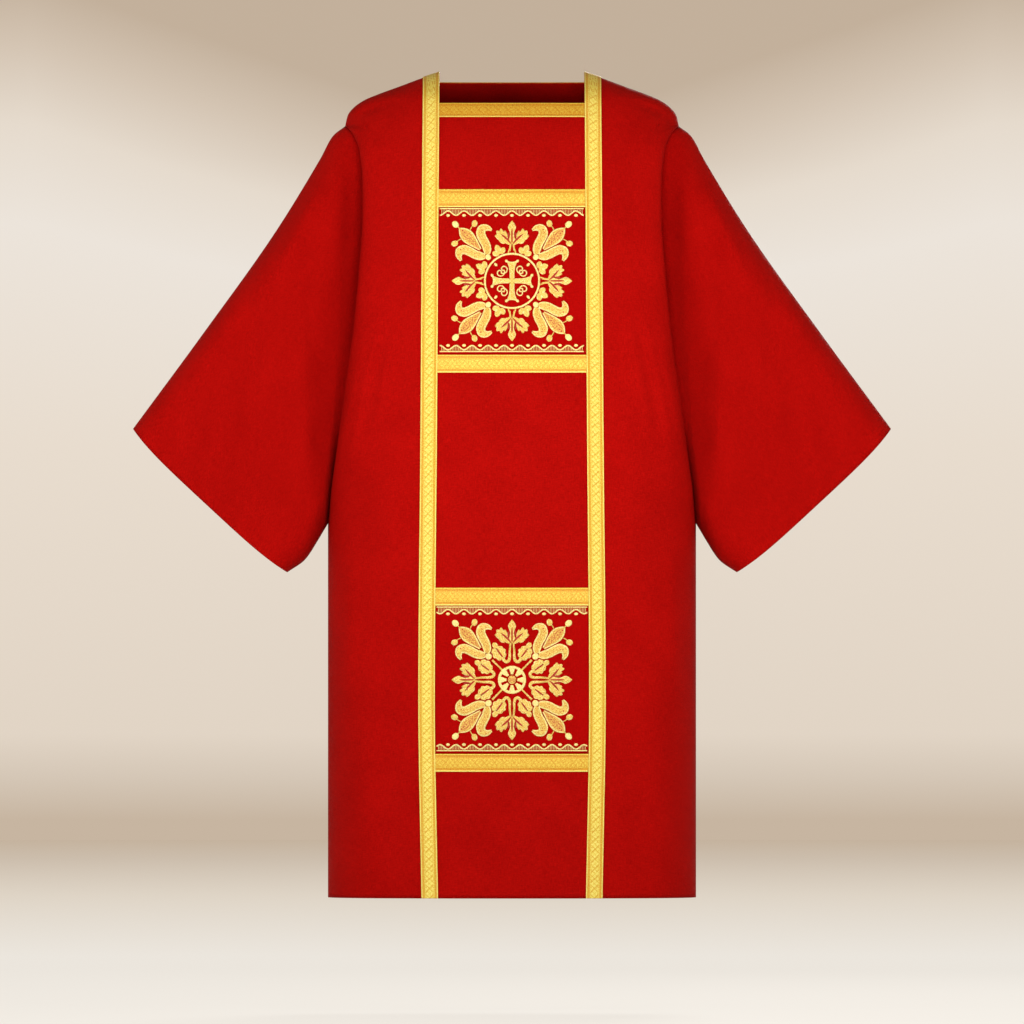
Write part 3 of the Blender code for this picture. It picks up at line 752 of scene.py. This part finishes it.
def ribbon(points, half_widths, rise=0.0007, tone=GOLD):
    """One ribbon by a few points and the half width at each, all in millimetres."""
    line, widths = smooth_line(np.array(points) / PER_METRE, np.array(half_widths) / PER_METRE)
    return Ribbon(line, widths, rise, tone)


def oval(x, y, angle, length, width, rise=0.0008, tone=GOLD):
    """A filled oval by its middle, the way that it points in degrees, and its size in millimetres."""
    turn = math.radians(angle)
    shares = np.linspace(-1, 1, 9)
    points = [(x + math.cos(turn) * s * length / 2, y + math.sin(turn) * s * length / 2) for s in shares]
    widths = [width / 2 * math.sqrt(max(1 - s * s, 0.01)) for s in shares]
    return ribbon(points, widths, rise, tone)


def turned(ribbons, angle, mirror=False):
    """The ribbons turned about the square's middle, and mirrored first where asked."""
    c, s = math.cos(math.radians(angle)), math.sin(math.radians(angle))
    matrix = np.array([[c, -s], [s, c]]) @ np.diag([-1.0 if mirror else 1.0, 1.0])
    return [item._replace(line=item.line @ matrix.T) for item in ribbons]


def both_ways(ribbons):
    return ribbons + turned(ribbons, 0, mirror=True)


def scalloped(points, half_widths, count, tone=GOLD, depth=0.42):
    """A ribbon with a given count of round scallops along its edges."""
    line, widths = smooth_line(np.array(points) / PER_METRE, np.array(half_widths) / PER_METRE)
    share = np.linspace(0, 1, len(line))
    bumps = np.abs(np.sin(math.pi * count * share)) ** 0.8
    return Ribbon(line, widths * (1 - depth + depth * bumps), 0.0010, tone)


def axis_leaf():
    """A broad leaf that points up: a pointed middle lobe and a notched one on each side, with open
    veins, on two thin stalks."""
    middle = [
        ribbon([(0, 70), (0, 75), (0, 79), (0, 84), (0, 88), (0, 94.4)],
               [3.6, 3.2, 4.4, 6.2, 5.0, 0.5], 0.0010),
        ribbon([(0, 58.0), (0, 62), (0, 66), (0, 70)], [2.6, 4.8, 5.4, 3.6], 0.0010),
    ]
    side = [
        ribbon([(3.8, 47), (3.0, 52), (2.2, 58)], [1.3, 1.4, 1.6], 0.0009),
        scalloped([(3.0, 57.5), (8.6, 62.5), (14.0, 67.5), (19.0, 72.5), (23.8, 78.6)],
                  [2.0, 4.0, 5.2, 5.0, 1.6], 4, depth=0.30),
        ribbon([(9.0, 62.0), (14.6, 62.2), (20.2, 64.6)], [2.6, 3.8, 1.4], 0.0010),
        ribbon([(15.0, 66.5), (20.6, 68.6), (26.4, 71.4)], [3.0, 4.0, 1.2], 0.0010),
        ribbon([(9.4, 66.0), (10.6, 72.0), (11.0, 78.6)], [2.8, 3.6, 1.0], 0.0010),
        ribbon([(15.0, 70.5), (16.6, 76.0), (17.2, 82.0)], [3.0, 3.8, 1.0], 0.0010),
        ribbon([(1.6, 58.5), (6.4, 64.0), (11.6, 68.8), (16.8, 73.2)], [0.8, 1.6, 1.7, 0.6], 0.0014, VEIN),
        ribbon([(4.6, 66.5), (5.0, 71), (6.2, 75.5)], [0.5, 1.5, 1.9], 0.0012, VEIN),
    ]
    vein = [ribbon([(0, 60), (0, 68), (0, 76), (0, 82)], [0.9, 1.4, 1.4, 0.6], 0.0014, VEIN)]
    return middle + both_ways(side) + vein


def tulip():
    """A tulip towards the upper right corner: a pointed body, two petals that curl back, and buds."""
    e = np.array([1.0, 1.0]) / math.sqrt(2)
    f = np.array([-1.0, 1.0]) / math.sqrt(2)

    def spot(out, aside):
        return tuple(e * out + f * aside)

    body_line = [spot(r, 0) for r in (70, 80, 90, 100, 108, 116)]
    body_width = [1.2, 4.6, 7.8, 9.2, 7.0, 0.8]
    parts = [ribbon(body_line, body_width, 0.0010, AMBER)]
    for way in (1, -1):
        edge = [spot(r, way * w) for r, w in zip((70, 80, 90, 100, 108, 116), body_width)]
        parts.append(ribbon(edge, [1.0] * len(edge), 0.0013, PALE))
        line = [(57, 2), (62, 7), (70, 11.5), (80, 14.5), (88, 18.5), (91, 25), (87, 31), (79, 34)]
        width = [3.0, 5.4, 6.0, 6.2, 6.2, 5.6, 3.8, 0.8]
        parts.append(ribbon([spot(r, way * w) for r, w in line], width, 0.0010, DEEP))
        smooth, half = smooth_line([spot(r, way * w) for r, w in line], width)
        along = np.gradient(smooth, axis=0)
        across = np.stack([-along[:, 1], along[:, 0]], axis=1) / np.linalg.norm(along, axis=1)[:, None]
        for side in (1, -1):
            rim = (smooth + across * half[:, None] * side)[::3]
            parts.append(ribbon(rim, [1.0] * len(rim), 0.0013, PALE))
        # A stem and bud beside each petal
        stem = [spot(103, way * 10), spot(104.5, way * 14.5), spot(105, way * 18)]
        parts.append(ribbon(stem, [0.7] * len(stem), 0.0009))
        parts.append(oval(*spot(105.3, way * 22.2), 45 + way * 62, 11, 9, 0.0010, GOLD))
    parts.append(ribbon([spot(114, 0), spot(120, 0), spot(123, 0)], [0.8, 0.8, 0.9], 0.0009))
    parts.append(oval(*spot(125.5, 0), 45, 12, 9.5, 0.0010, PALE))
    return parts


def small_cluster(angle):
    """Three short lobes fanned out of one spot on the ring."""
    parts = []
    way = np.array([math.cos(math.radians(angle)), math.sin(math.radians(angle))])
    for spread, length, width in ((-52, 11.5, 8.6), (52, 11.5, 8.6), (0, 15.5, 9.6)):
        turn = math.radians(angle + spread)
        middle = way * 45.0 + np.array([math.cos(turn), math.sin(turn)]) * (2.4 + length * 0.42)
        parts.append(oval(*middle, angle + spread, length, width, 0.0009, GOLD))
    return parts


def scroll(x, y, start, outer, inner, turns, half_width=0.95):
    """A flat spiral of thread about a middle, that starts at an angle in degrees and winds inwards."""
    shares = np.linspace(0, 1, 25)
    angles = math.radians(start) + shares * turns * 2 * math.pi
    radii = outer + (inner - outer) * shares
    points = [(x + r * math.cos(a), y + r * math.sin(a)) for r, a in zip(radii, angles)]
    return ribbon(points, [half_width] * len(points), 0.0012, PALE)


def closed_ring(radius, half_width, rise, tone):
    turns = np.linspace(0, 2 * math.pi, 73)
    line = [(radius * math.cos(a), radius * math.sin(a)) for a in turns]
    return ribbon(line, [half_width] * len(turns), rise, tone)


def upper_motif():
    parts = [closed_ring(42.6, 1.5, 0.0010, PALE)]
    # A plain cross with flared arms stands in the ring
    for angle in (0, 90, 180, 270):
        arm = [ribbon([(0, 0), (0, 12), (0, 22), (0, 30)], [3.0, 3.0, 4.2, 7.0], 0.0010, GOLD)]
        arm += [ribbon([(-7.4, 30.4), (0, 29.0), (7.4, 30.4)], [0.9, 0.9, 0.9], 0.0012, PALE)]
        arm += both_ways([ribbon([(3.2, 4), (3.2, 12), (4.4, 22), (7.2, 30)], [0.6] * 4, 0.0012, PALE)])
        arm += both_ways([oval(8.6, 31.2, 40, 5.5, 4.6, 0.0011, PALE)])
        arm += [scroll(18.5, 13.2, 150, 7.2, 1.4, 1.2), scroll(13.2, 18.5, -60, 7.2, 1.4, -1.2)]
        arm += [oval(25.5, 25.5, 45, 6.5, 4.2, 0.0010, PALE)]
        stems = both_ways([ribbon([(5.8, 44), (4.6, 48), (2.4, 53)], [1.1] * 3, 0.0008)])
        clusters = small_cluster(66) + small_cluster(24)
        bud = [oval(37.4, 37.4, 45, 9.5, 8.5, 0.0010, PALE)]
        parts += turned(arm + stems + axis_leaf() + clusters + tulip() + bud, angle)
    return parts


def side_leaf():
    """A scalloped leaf on a stem that curls round from the axis leaf."""
    stem = [ribbon(
        [(2.8, 53), (3.6, 44), (3.6, 36), (5.4, 30), (9.0, 28.2), (12.4, 30.6), (14.6, 35)],
        [1.5, 1.7, 2.1, 2.3, 2.3, 2.4, 2.8], 0.0009,
    )]
    blade = [
        scalloped([(12.6, 34.5), (14.2, 40.5), (17.4, 47), (21.5, 52.5)], [2.6, 5.8, 6.2, 2.2], 3),
        scalloped([(15.6, 32.0), (20.8, 35.8), (26.2, 41.8), (29.4, 49)], [2.6, 5.6, 6.2, 2.4], 3),
        oval(26.4, 53.6, 52, 11, 8.4),
        ribbon([(14.6, 35.6), (19.0, 41.5), (23.6, 48.2)], [0.8, 1.5, 0.7], 0.0014, VEIN),
    ]
    return stem + blade


def lower_motif():
    parts = [closed_ring(19.9, 2.1, 0.0010, PALE), oval(0, 0, 0, 13, 13, 0.0012, AMBER)]
    for k in range(8):
        turn = 45 * k
        petal = [ribbon([(0, 8.4), (0, 11), (0, 14), (0, 18.6)], [1.9, 2.6, 3.6, 4.9], 0.0009, PALE)]
        parts += turned(petal, turn)
    for angle in (0, 90, 180, 270):
        bud = [
            ribbon([(14, 14), (19, 19), (25, 25), (31, 31)], [1.4, 1.3, 1.3, 1.8], 0.0009),
            oval(36.8, 36.8, 45, 10.5, 10, 0.0010, PALE),
        ]
        parts += turned(axis_leaf() + both_ways(side_leaf()) + bud + tulip(), angle)
    return parts


# The border by each cross braid: a thin line, a wave with dots, and ticks in the wave's pockets
BORDER_LINE = {1: 2.4, -1: 5.2}
WAVE_MIDDLE = {1: 9.4, -1: 11.0}
WAVE_REACH = 3.4
WAVE_LENGTH = 25.1
DOT_BEYOND = 3.6
TICK_STEP = 2.4
TICK_GAP = 1.3
BORDER_INSET = 0.002


def border(half_height, half_width, way):
    """The border along the top (way 1) or bottom (-1) edge of a square, in millimetres."""
    parts = []
    edge, line, middle = half_height * way, BORDER_LINE[way], WAVE_MIDDLE[way]
    across = np.arange(-half_width, half_width + 0.01, 2.0)

    def pocket(x):
        return middle - WAVE_REACH * math.cos(2 * math.pi * x / WAVE_LENGTH)

    parts.append(ribbon([(x, edge - way * line) for x in across], [0.9] * len(across), 0.0008, PALE))
    parts.append(ribbon([(x, edge - way * pocket(x)) for x in across], [1.1] * len(across), 0.0009, PALE))
    for k in range(-4, 5):
        parts.append(oval(k * WAVE_LENGTH, edge - way * (middle + DOT_BEYOND), 0, 6.2, 4.6, 0.0009, PALE))
    ticks = round(half_width / TICK_STEP)
    for k in range(-ticks + 1, ticks):
        x = k * TICK_STEP
        if pocket(x) - TICK_GAP > line + 2 * TICK_GAP:
            ends = [(x, edge - way * (line + TICK_GAP)), (x, edge - way * (pocket(x) - TICK_GAP))]
            parts.append(ribbon(ends, [0.35, 0.35], 0.0006, PALE))
    return parts


def make_embroidery(name, band, ribbons):
    """All the ribbons of a square as closed bodies on its ground, in one piece."""
    centre_z = (band.top + band.bottom) / 2
    across = STITCH_ACROSS
    dome = np.sqrt(1 - across**STITCH_ROUND)
    points, faces, uvs, tones, count = [], [], [], [], 0
    for item in ribbons:
        along = np.gradient(item.line, axis=0)
        length = np.maximum(np.linalg.norm(along, axis=1), 1e-9)
        aside = np.stack([-along[:, 1], along[:, 0]], axis=1) / length[:, None]
        flat = item.line[:, None] + aside[:, None] * (item.half_widths[:, None] * across[None, :])[..., None]
        x, z = flat[..., 0], flat[..., 1] + centre_z
        grid = cloth_at("front", x, z)
        ahead = cloth_at("front", x + 1e-4, z) - grid
        up = cloth_at("front", x, z + 1e-4) - grid
        normals = np.cross(ahead, up)
        normals /= np.linalg.norm(normals, axis=2)[..., None]
        ground = grid + normals * (SQUARE_RISE + STITCH_BASE)
        lift = np.broadcast_to(item.rise * dome[None, :], grid.shape[:2])
        body, body_faces, source = laid_body(ground, normals, lift)
        points.append(body)
        faces += [[corner + count for corner in face] for face in body_faces]
        count += len(body)
        v = np.concatenate([[0.0], np.cumsum(length[1:])])
        uv = np.stack(np.broadcast_arrays(item.half_widths[:, None] * across[None, :], v[:, None]), axis=-1)
        uvs.append(uv.reshape(-1, 2)[source])
        paler = EDGE_PALE * (1 - item.tone) * across**4 * (item.tone > VEIN)
        tone = np.broadcast_to(item.tone + paler, grid.shape[:2])
        tones.append(tone.ravel()[source])
    piece = build_mesh(
        name, np.concatenate(points), faces, np.concatenate(uvs), [gold_thread],
        tones=np.concatenate(tones),
    )
    return piece


def new_material(name, colour, roughness, **settings):
    """A Principled material, its shader and its node tree. Settings are plain numbers of its sockets."""
    material = bpy.data.materials.new(name)
    material.use_nodes = True
    tree = material.node_tree
    shader = tree.nodes["Principled BSDF"]
    shader.inputs["Base Color"].default_value = (*colour, 1.0)
    shader.inputs["Roughness"].default_value = roughness
    for socket, value in settings.items():
        shader.inputs[socket.replace("_", " ")].default_value = value
    return material, tree, shader


def math_node(tree, operation, first, second=None):
    node = tree.nodes.new("ShaderNodeMath")
    node.operation = operation
    for socket, value in zip(node.inputs, (first, second)):
        if isinstance(value, (int, float)):
            socket.default_value = value
        elif value is not None:
            tree.links.new(value, socket)
    return node.outputs[0]


def uv_parts(tree):
    """The cloth's own directions in metres, as two numbers."""
    uv = tree.nodes.new("ShaderNodeUVMap")
    uv.uv_map = "cloth"
    parts = tree.nodes.new("ShaderNodeSeparateXYZ")
    tree.links.new(uv.outputs["UV"], parts.inputs[0])
    return uv.outputs["UV"], parts.outputs["X"], parts.outputs["Y"]


def waves(tree, value, period):
    return math_node(tree, "SINE", math_node(tree, "MULTIPLY", value, 2 * math.pi / period))


def noise_node(tree, vector, scale, detail=3.0, stretch=None):
    if stretch is not None:
        mapping = tree.nodes.new("ShaderNodeMapping")
        mapping.inputs["Scale"].default_value = stretch
        tree.links.new(vector, mapping.inputs["Vector"])
        vector = mapping.outputs["Vector"]
    noise = tree.nodes.new("ShaderNodeTexNoise")
    noise.inputs["Scale"].default_value = scale
    noise.inputs["Detail"].default_value = detail
    tree.links.new(vector, noise.inputs["Vector"])
    return noise.outputs["Fac"]


def colour_ramp(tree, value, stops):
    ramp = tree.nodes.new("ShaderNodeValToRGB")
    points = ramp.color_ramp.elements
    while len(points) < len(stops):
        points.new(0.5)
    for point, (place, colour) in zip(points, stops):
        point.position = place
        point.color = (*colour, 1.0)
    tree.links.new(value, ramp.inputs[0])
    return ramp.outputs["Color"]


def add_bump(tree, shader, height, distance, strength=1.0):
    bump = tree.nodes.new("ShaderNodeBump")
    bump.inputs["Distance"].default_value = distance
    bump.inputs["Strength"].default_value = strength
    tree.links.new(height, bump.inputs["Height"])
    tree.links.new(bump.outputs["Normal"], shader.inputs["Normal"])


def woven_red(name, dark, light, roughness, sheen, thread, grain):
    """Plain-woven cloth: crossing threads in its relief, and slubs and soft unevenness in its colour."""
    material, tree, shader = new_material(
        name, light, roughness, Sheen_Weight=sheen, Sheen_Roughness=0.5, Specular_IOR_Level=CLOTH_SHINE
    )
    shader.inputs["Sheen Tint"].default_value = (1.0, 0.08, 0.05, 1.0)
    shader.inputs["Specular Tint"].default_value = (1.0, 0.45, 0.40, 1.0)
    uv, u, v = uv_parts(tree)
    weave = math_node(tree, "MULTIPLY", waves(tree, u, thread), waves(tree, v, thread))
    warp = noise_node(tree, uv, 1.0, 2.0, stretch=(1 / thread, 1 / SLUB_LENGTH, 1.0))
    weft = noise_node(tree, uv, 1.0, 2.0, stretch=(1 / SLUB_LENGTH, 1 / thread, 1.0))
    slubs = math_node(tree, "ADD", warp, weft)
    cloudy = noise_node(tree, uv, CLOUD_SCALE, 4.0)
    slubs = math_node(
        tree, "ADD", slubs, math_node(tree, "SUBTRACT", noise_node(tree, uv, COARSE, 2.0), 0.5)
    )
    mixed = math_node(tree, "MULTIPLY_ADD", slubs, grain)
    tree.links.new(math_node(tree, "MULTIPLY", cloudy, CLOUD_SHARE), mixed.node.inputs[2])
    colour = colour_ramp(tree, mixed, [(0.3, dark), (0.85, light)])
    tree.links.new(colour, shader.inputs["Base Color"])
    relief = math_node(tree, "ADD", weave, math_node(tree, "MULTIPLY", slubs, 1.6))
    add_bump(tree, shader, relief, WEAVE_DEPTH)
    return material


def metal_thread(name, stops, roughness, metallic, thread, unevenness):
    """Gold thread laid side by side, coloured by each point's tone: on the embroidery the thread's own
    colour, on the braids painted shade from groove to crest. The ribs' small step in colour is painted shade
    between the threads.
    """
    material, tree, shader = new_material(
        name, stops[1][1], roughness, Metallic=metallic, Specular_IOR_Level=THREAD_SHINE
    )
    uv, u, v = uv_parts(tree)
    tone = tree.nodes.new("ShaderNodeAttribute")
    tone.attribute_name = "tone"
    uneven = noise_node(tree, uv, THREAD_CLOUDS, 3.0)
    ribs = waves(tree, v, thread)
    shift = math_node(tree, "SUBTRACT", uneven, 0.5)
    value = math_node(tree, "ADD", tone.outputs["Fac"], math_node(tree, "MULTIPLY", shift, unevenness))
    # Painted shade between the threads: the ribs make the colour a little darker in their grooves and
    # lighter on their crests
    value = math_node(tree, "ADD", value, math_node(tree, "MULTIPLY", ribs, 0.06))
    tree.links.new(colour_ramp(tree, value, stops), shader.inputs["Base Color"])
    add_bump(tree, shader, ribs, THREAD_DEPTH)
    return material


SLUB_LENGTH = 0.012
CLOUD_SCALE = 14.0
CLOUD_SHARE = 0.25
COARSE = 360.0
WEAVE_DEPTH = 0.00012
THREAD_CLOUDS = 480.0
THREAD_DEPTH = 0.00008
THREAD_SHINE = 0.25
CLOTH_SHINE = 0.03
RED_DARK = (0.140, 0.0002, 0.0001)
RED_LIGHT = (0.290, 0.0020, 0.0013)
SQUARE_DARK = (0.180, 0.0003, 0.0002)
SQUARE_LIGHT = (0.282, 0.0012, 0.0009)
GOLD_STOPS = [
    (0.00, (0.20, 0.09, 0.006)),
    (0.28, (0.43, 0.18, 0.008)),
    (0.46, (0.42, 0.23, 0.014)),
    (0.76, (0.51, 0.41, 0.060)),
    (1.00, (0.56, 0.50, 0.145)),
]
THREAD_STOPS = [
    (0.02, (0.26, 0.012, 0.004)),
    (0.16, (0.37, 0.14, 0.030)),
    (0.45, (0.43, 0.27, 0.045)),
    (0.70, (0.47, 0.35, 0.065)),
    (1.00, (0.55, 0.48, 0.20)),
]


def add_area_light(name, place, target, size, power, colour):
    light = bpy.data.lights.new(name, "AREA")
    light.shape = "DISK"
    light.size = size
    light.energy = power
    light.color = colour
    lamp = bpy.data.objects.new(name, light)
    lamp.location = place
    lamp.rotation_euler = (Vector(target) - Vector(place)).to_track_quat("-Z", "Y").to_euler()
    lamp.visible_camera = False
    bpy.context.scene.collection.objects.link(lamp)


# The camera looks level from the front and far off, so the hem stays a straight line
CAMERA_AWAY = 40.0
VIEW_HEIGHT = -0.693
VIEW_WIDTH = 1.614
SENSOR = 36.0
FLOOR_Z = -1.48
FLOOR_RADIUS = 20.9


def add_camera():
    camera = bpy.data.cameras.new("camera")
    camera.sensor_width = SENSOR
    camera.lens = SENSOR * CAMERA_AWAY / VIEW_WIDTH
    camera.clip_end = 200.0
    holder = bpy.data.objects.new("camera", camera)
    holder.location = (0, -CAMERA_AWAY, VIEW_HEIGHT)
    holder.rotation_euler = (math.pi / 2, 0, 0)
    bpy.context.scene.collection.objects.link(holder)
    bpy.context.scene.camera = holder


def add_floor():
    """A pale floor lit by painted light: it glows, brightest near the middle under the garment and darker
    towards the horizon, where it meets the backdrop. Its dark base colour takes only a little real light and
    shadow.
    """
    edit = bmesh.new()
    bmesh.ops.create_circle(edit, cap_ends=True, segments=96, radius=FLOOR_RADIUS)
    mesh = bpy.data.meshes.new("floor")
    edit.to_mesh(mesh)
    edit.free()
    floor = bpy.data.objects.new("floor", mesh)
    floor.location = (0, 0, FLOOR_Z)
    bpy.context.scene.collection.objects.link(floor)
    material, tree, shader = new_material("floor_painted_light", FLOOR_BASE, 0.9, Specular_IOR_Level=0.1)
    place = tree.nodes.new("ShaderNodeTexCoord").outputs["Object"]
    length = tree.nodes.new("ShaderNodeVectorMath")
    length.operation = "LENGTH"
    tree.links.new(place, length.inputs[0])
    away = math_node(tree, "DIVIDE", length.outputs["Value"], FLOOR_RADIUS)
    # Painted light: the floor glows by its distance from the middle, not by the lamps
    glow = colour_ramp(tree, away, FLOOR_GLOW_STOPS)
    tree.links.new(glow, shader.inputs["Emission Color"])
    shader.inputs["Emission Strength"].default_value = 1.0
    mesh.materials.append(material)


def add_surroundings():
    """A pale backdrop all round, the floor, and soft studio light from the front."""
    world = bpy.data.worlds.new("studio")
    bpy.context.scene.world = world
    world.use_nodes = True
    tree = world.node_tree
    direction = tree.nodes.new("ShaderNodeTexCoord").outputs["Generated"]
    parts = tree.nodes.new("ShaderNodeSeparateXYZ")
    tree.links.new(direction, parts.inputs[0])
    height = math_node(tree, "MULTIPLY", parts.outputs["Z"], BACKDROP_SCALE)
    inner = math_node(tree, "SUBTRACT", RAY_REACH, math_node(tree, "ABSOLUTE", parts.outputs["X"]))
    inner = math_node(tree, "MULTIPLY", math_node(tree, "MAXIMUM", inner, 0.0), RAY_SLOPE)
    above = math_node(tree, "MULTIPLY", parts.outputs["Z"], RAY_RISE)
    above = math_node(tree, "MINIMUM", math_node(tree, "MAXIMUM", above, 0.0), 1.0)
    rise = math_node(tree, "ADD", height, math_node(tree, "MULTIPLY", inner, above))
    rise = math_node(tree, "ADD", rise, 0.5)
    colour = colour_ramp(tree, rise, BACKDROP_STOPS)
    tree.links.new(colour, tree.nodes["Background"].inputs["Color"])
    tree.nodes["Background"].inputs["Strength"].default_value = 1.0
    add_floor()
    for light in LIGHTS:
        add_area_light(*light)


# The backdrop's colours by height, from below the horizon to the top edge of the picture
BACKDROP_SCALE = 22.86
RAY_REACH = 0.0189
RAY_SLOPE = 7.7
RAY_RISE = 71.4
BACKDROP_STOPS = [
    (0.223, (0.571, 0.462, 0.356)),
    (0.262, (0.665, 0.570, 0.470)),
    (0.300, (0.755, 0.660, 0.558)),
    (0.560, (0.807, 0.716, 0.617)),
    (0.76, (0.840, 0.776, 0.705)),
    (0.85, (0.790, 0.705, 0.610)),
    (0.92, (0.660, 0.555, 0.450)),
    (0.98, (0.545, 0.435, 0.330)),
]
# The floor's dark base colour, and its painted glow by distance from the middle to its edge, brighter near
# the garment
FLOOR_BASE = (0.02, 0.02, 0.02)
FLOOR_GLOW_STOPS = [
    (0.0, (0.79, 0.75, 0.69)),
    (0.24, (0.80, 0.76, 0.70)),
    (0.58, (0.70, 0.63, 0.54)),
    (0.84, (0.57, 0.485, 0.395)),
    (1.0, (0.52, 0.42, 0.32)),
]
# Name, place, the spot that it points to, size, power and colour
LIGHTS = [
    ("front", (0.1, -1.7, -0.35), (0, 0, -0.50), 0.8, 32, (1.0, 0.98, 0.95)),
    ("left", (-1.8, -1.5, -0.22), (0, 0, -0.50), 0.8, 35, (1.0, 0.98, 0.95)),
    ("right", (1.8, -1.5, -0.28), (0, 0, -0.50), 0.8, 25, (1.0, 0.98, 0.95)),
    ("rear", (0.6, 3.0, 0.3), (0, 0, -0.6), 1.2, 70, (1.0, 0.97, 0.93)),
]

bpy.context.scene.view_settings.view_transform = "Standard"

red_cloth = woven_red("red_cloth", RED_DARK, RED_LIGHT, 0.72, 0.03, 0.0009, 0.50)
red_square = woven_red("red_square", SQUARE_DARK, SQUARE_LIGHT, 0.6, 0.02, 0.0007, 0.50)
gold_braid = metal_thread("gold_braid", GOLD_STOPS, 0.45, 0.20, 0.0007, 1.1)
gold_thread = metal_thread("gold_thread", THREAD_STOPS, 0.45, 0.15, 0.0008, 2.6)

halves = {side: half_panel(side) for side in ("front", "back")}
panels = {side: make_panel(side, halves[side]) for side in ("front", "back")}
sleeves = [
    make_sleeve(mirror, name, halves["front"], halves["back"])
    for mirror, name in ((1, "sleeve_left"), (-1, "sleeve_right"))
]
uprights = [
    make_upright_braid(mirror, name)
    for mirror, name in ((1, "upright_braid_left"), (-1, "upright_braid_right"))
]
# The neck braids and the cross braids are darkened by painted shade
crosses = [
    make_cross_braid(band, 1.0, NECK_PAINTED_SHADE) if band.name.startswith("neck") else make_cross_braid(band)
    for band in CROSS_BRAIDS
]
squares = [make_square(band) for band in SQUARES]
EMBROIDERY = ("embroidery_upper", "embroidery_lower")
for band, motif, name in zip(SQUARES, (upper_motif(), lower_motif()), EMBROIDERY):
    half_height = (band.top - band.bottom) / 2 * PER_METRE
    half_width = (float(braid_x(band.top)) - BORDER_INSET) * PER_METRE
    borders = border(half_height, half_width, 1) + border(half_height, half_width, -1)
    make_embroidery(name, band, motif + borders)

add_camera()
add_surroundings()
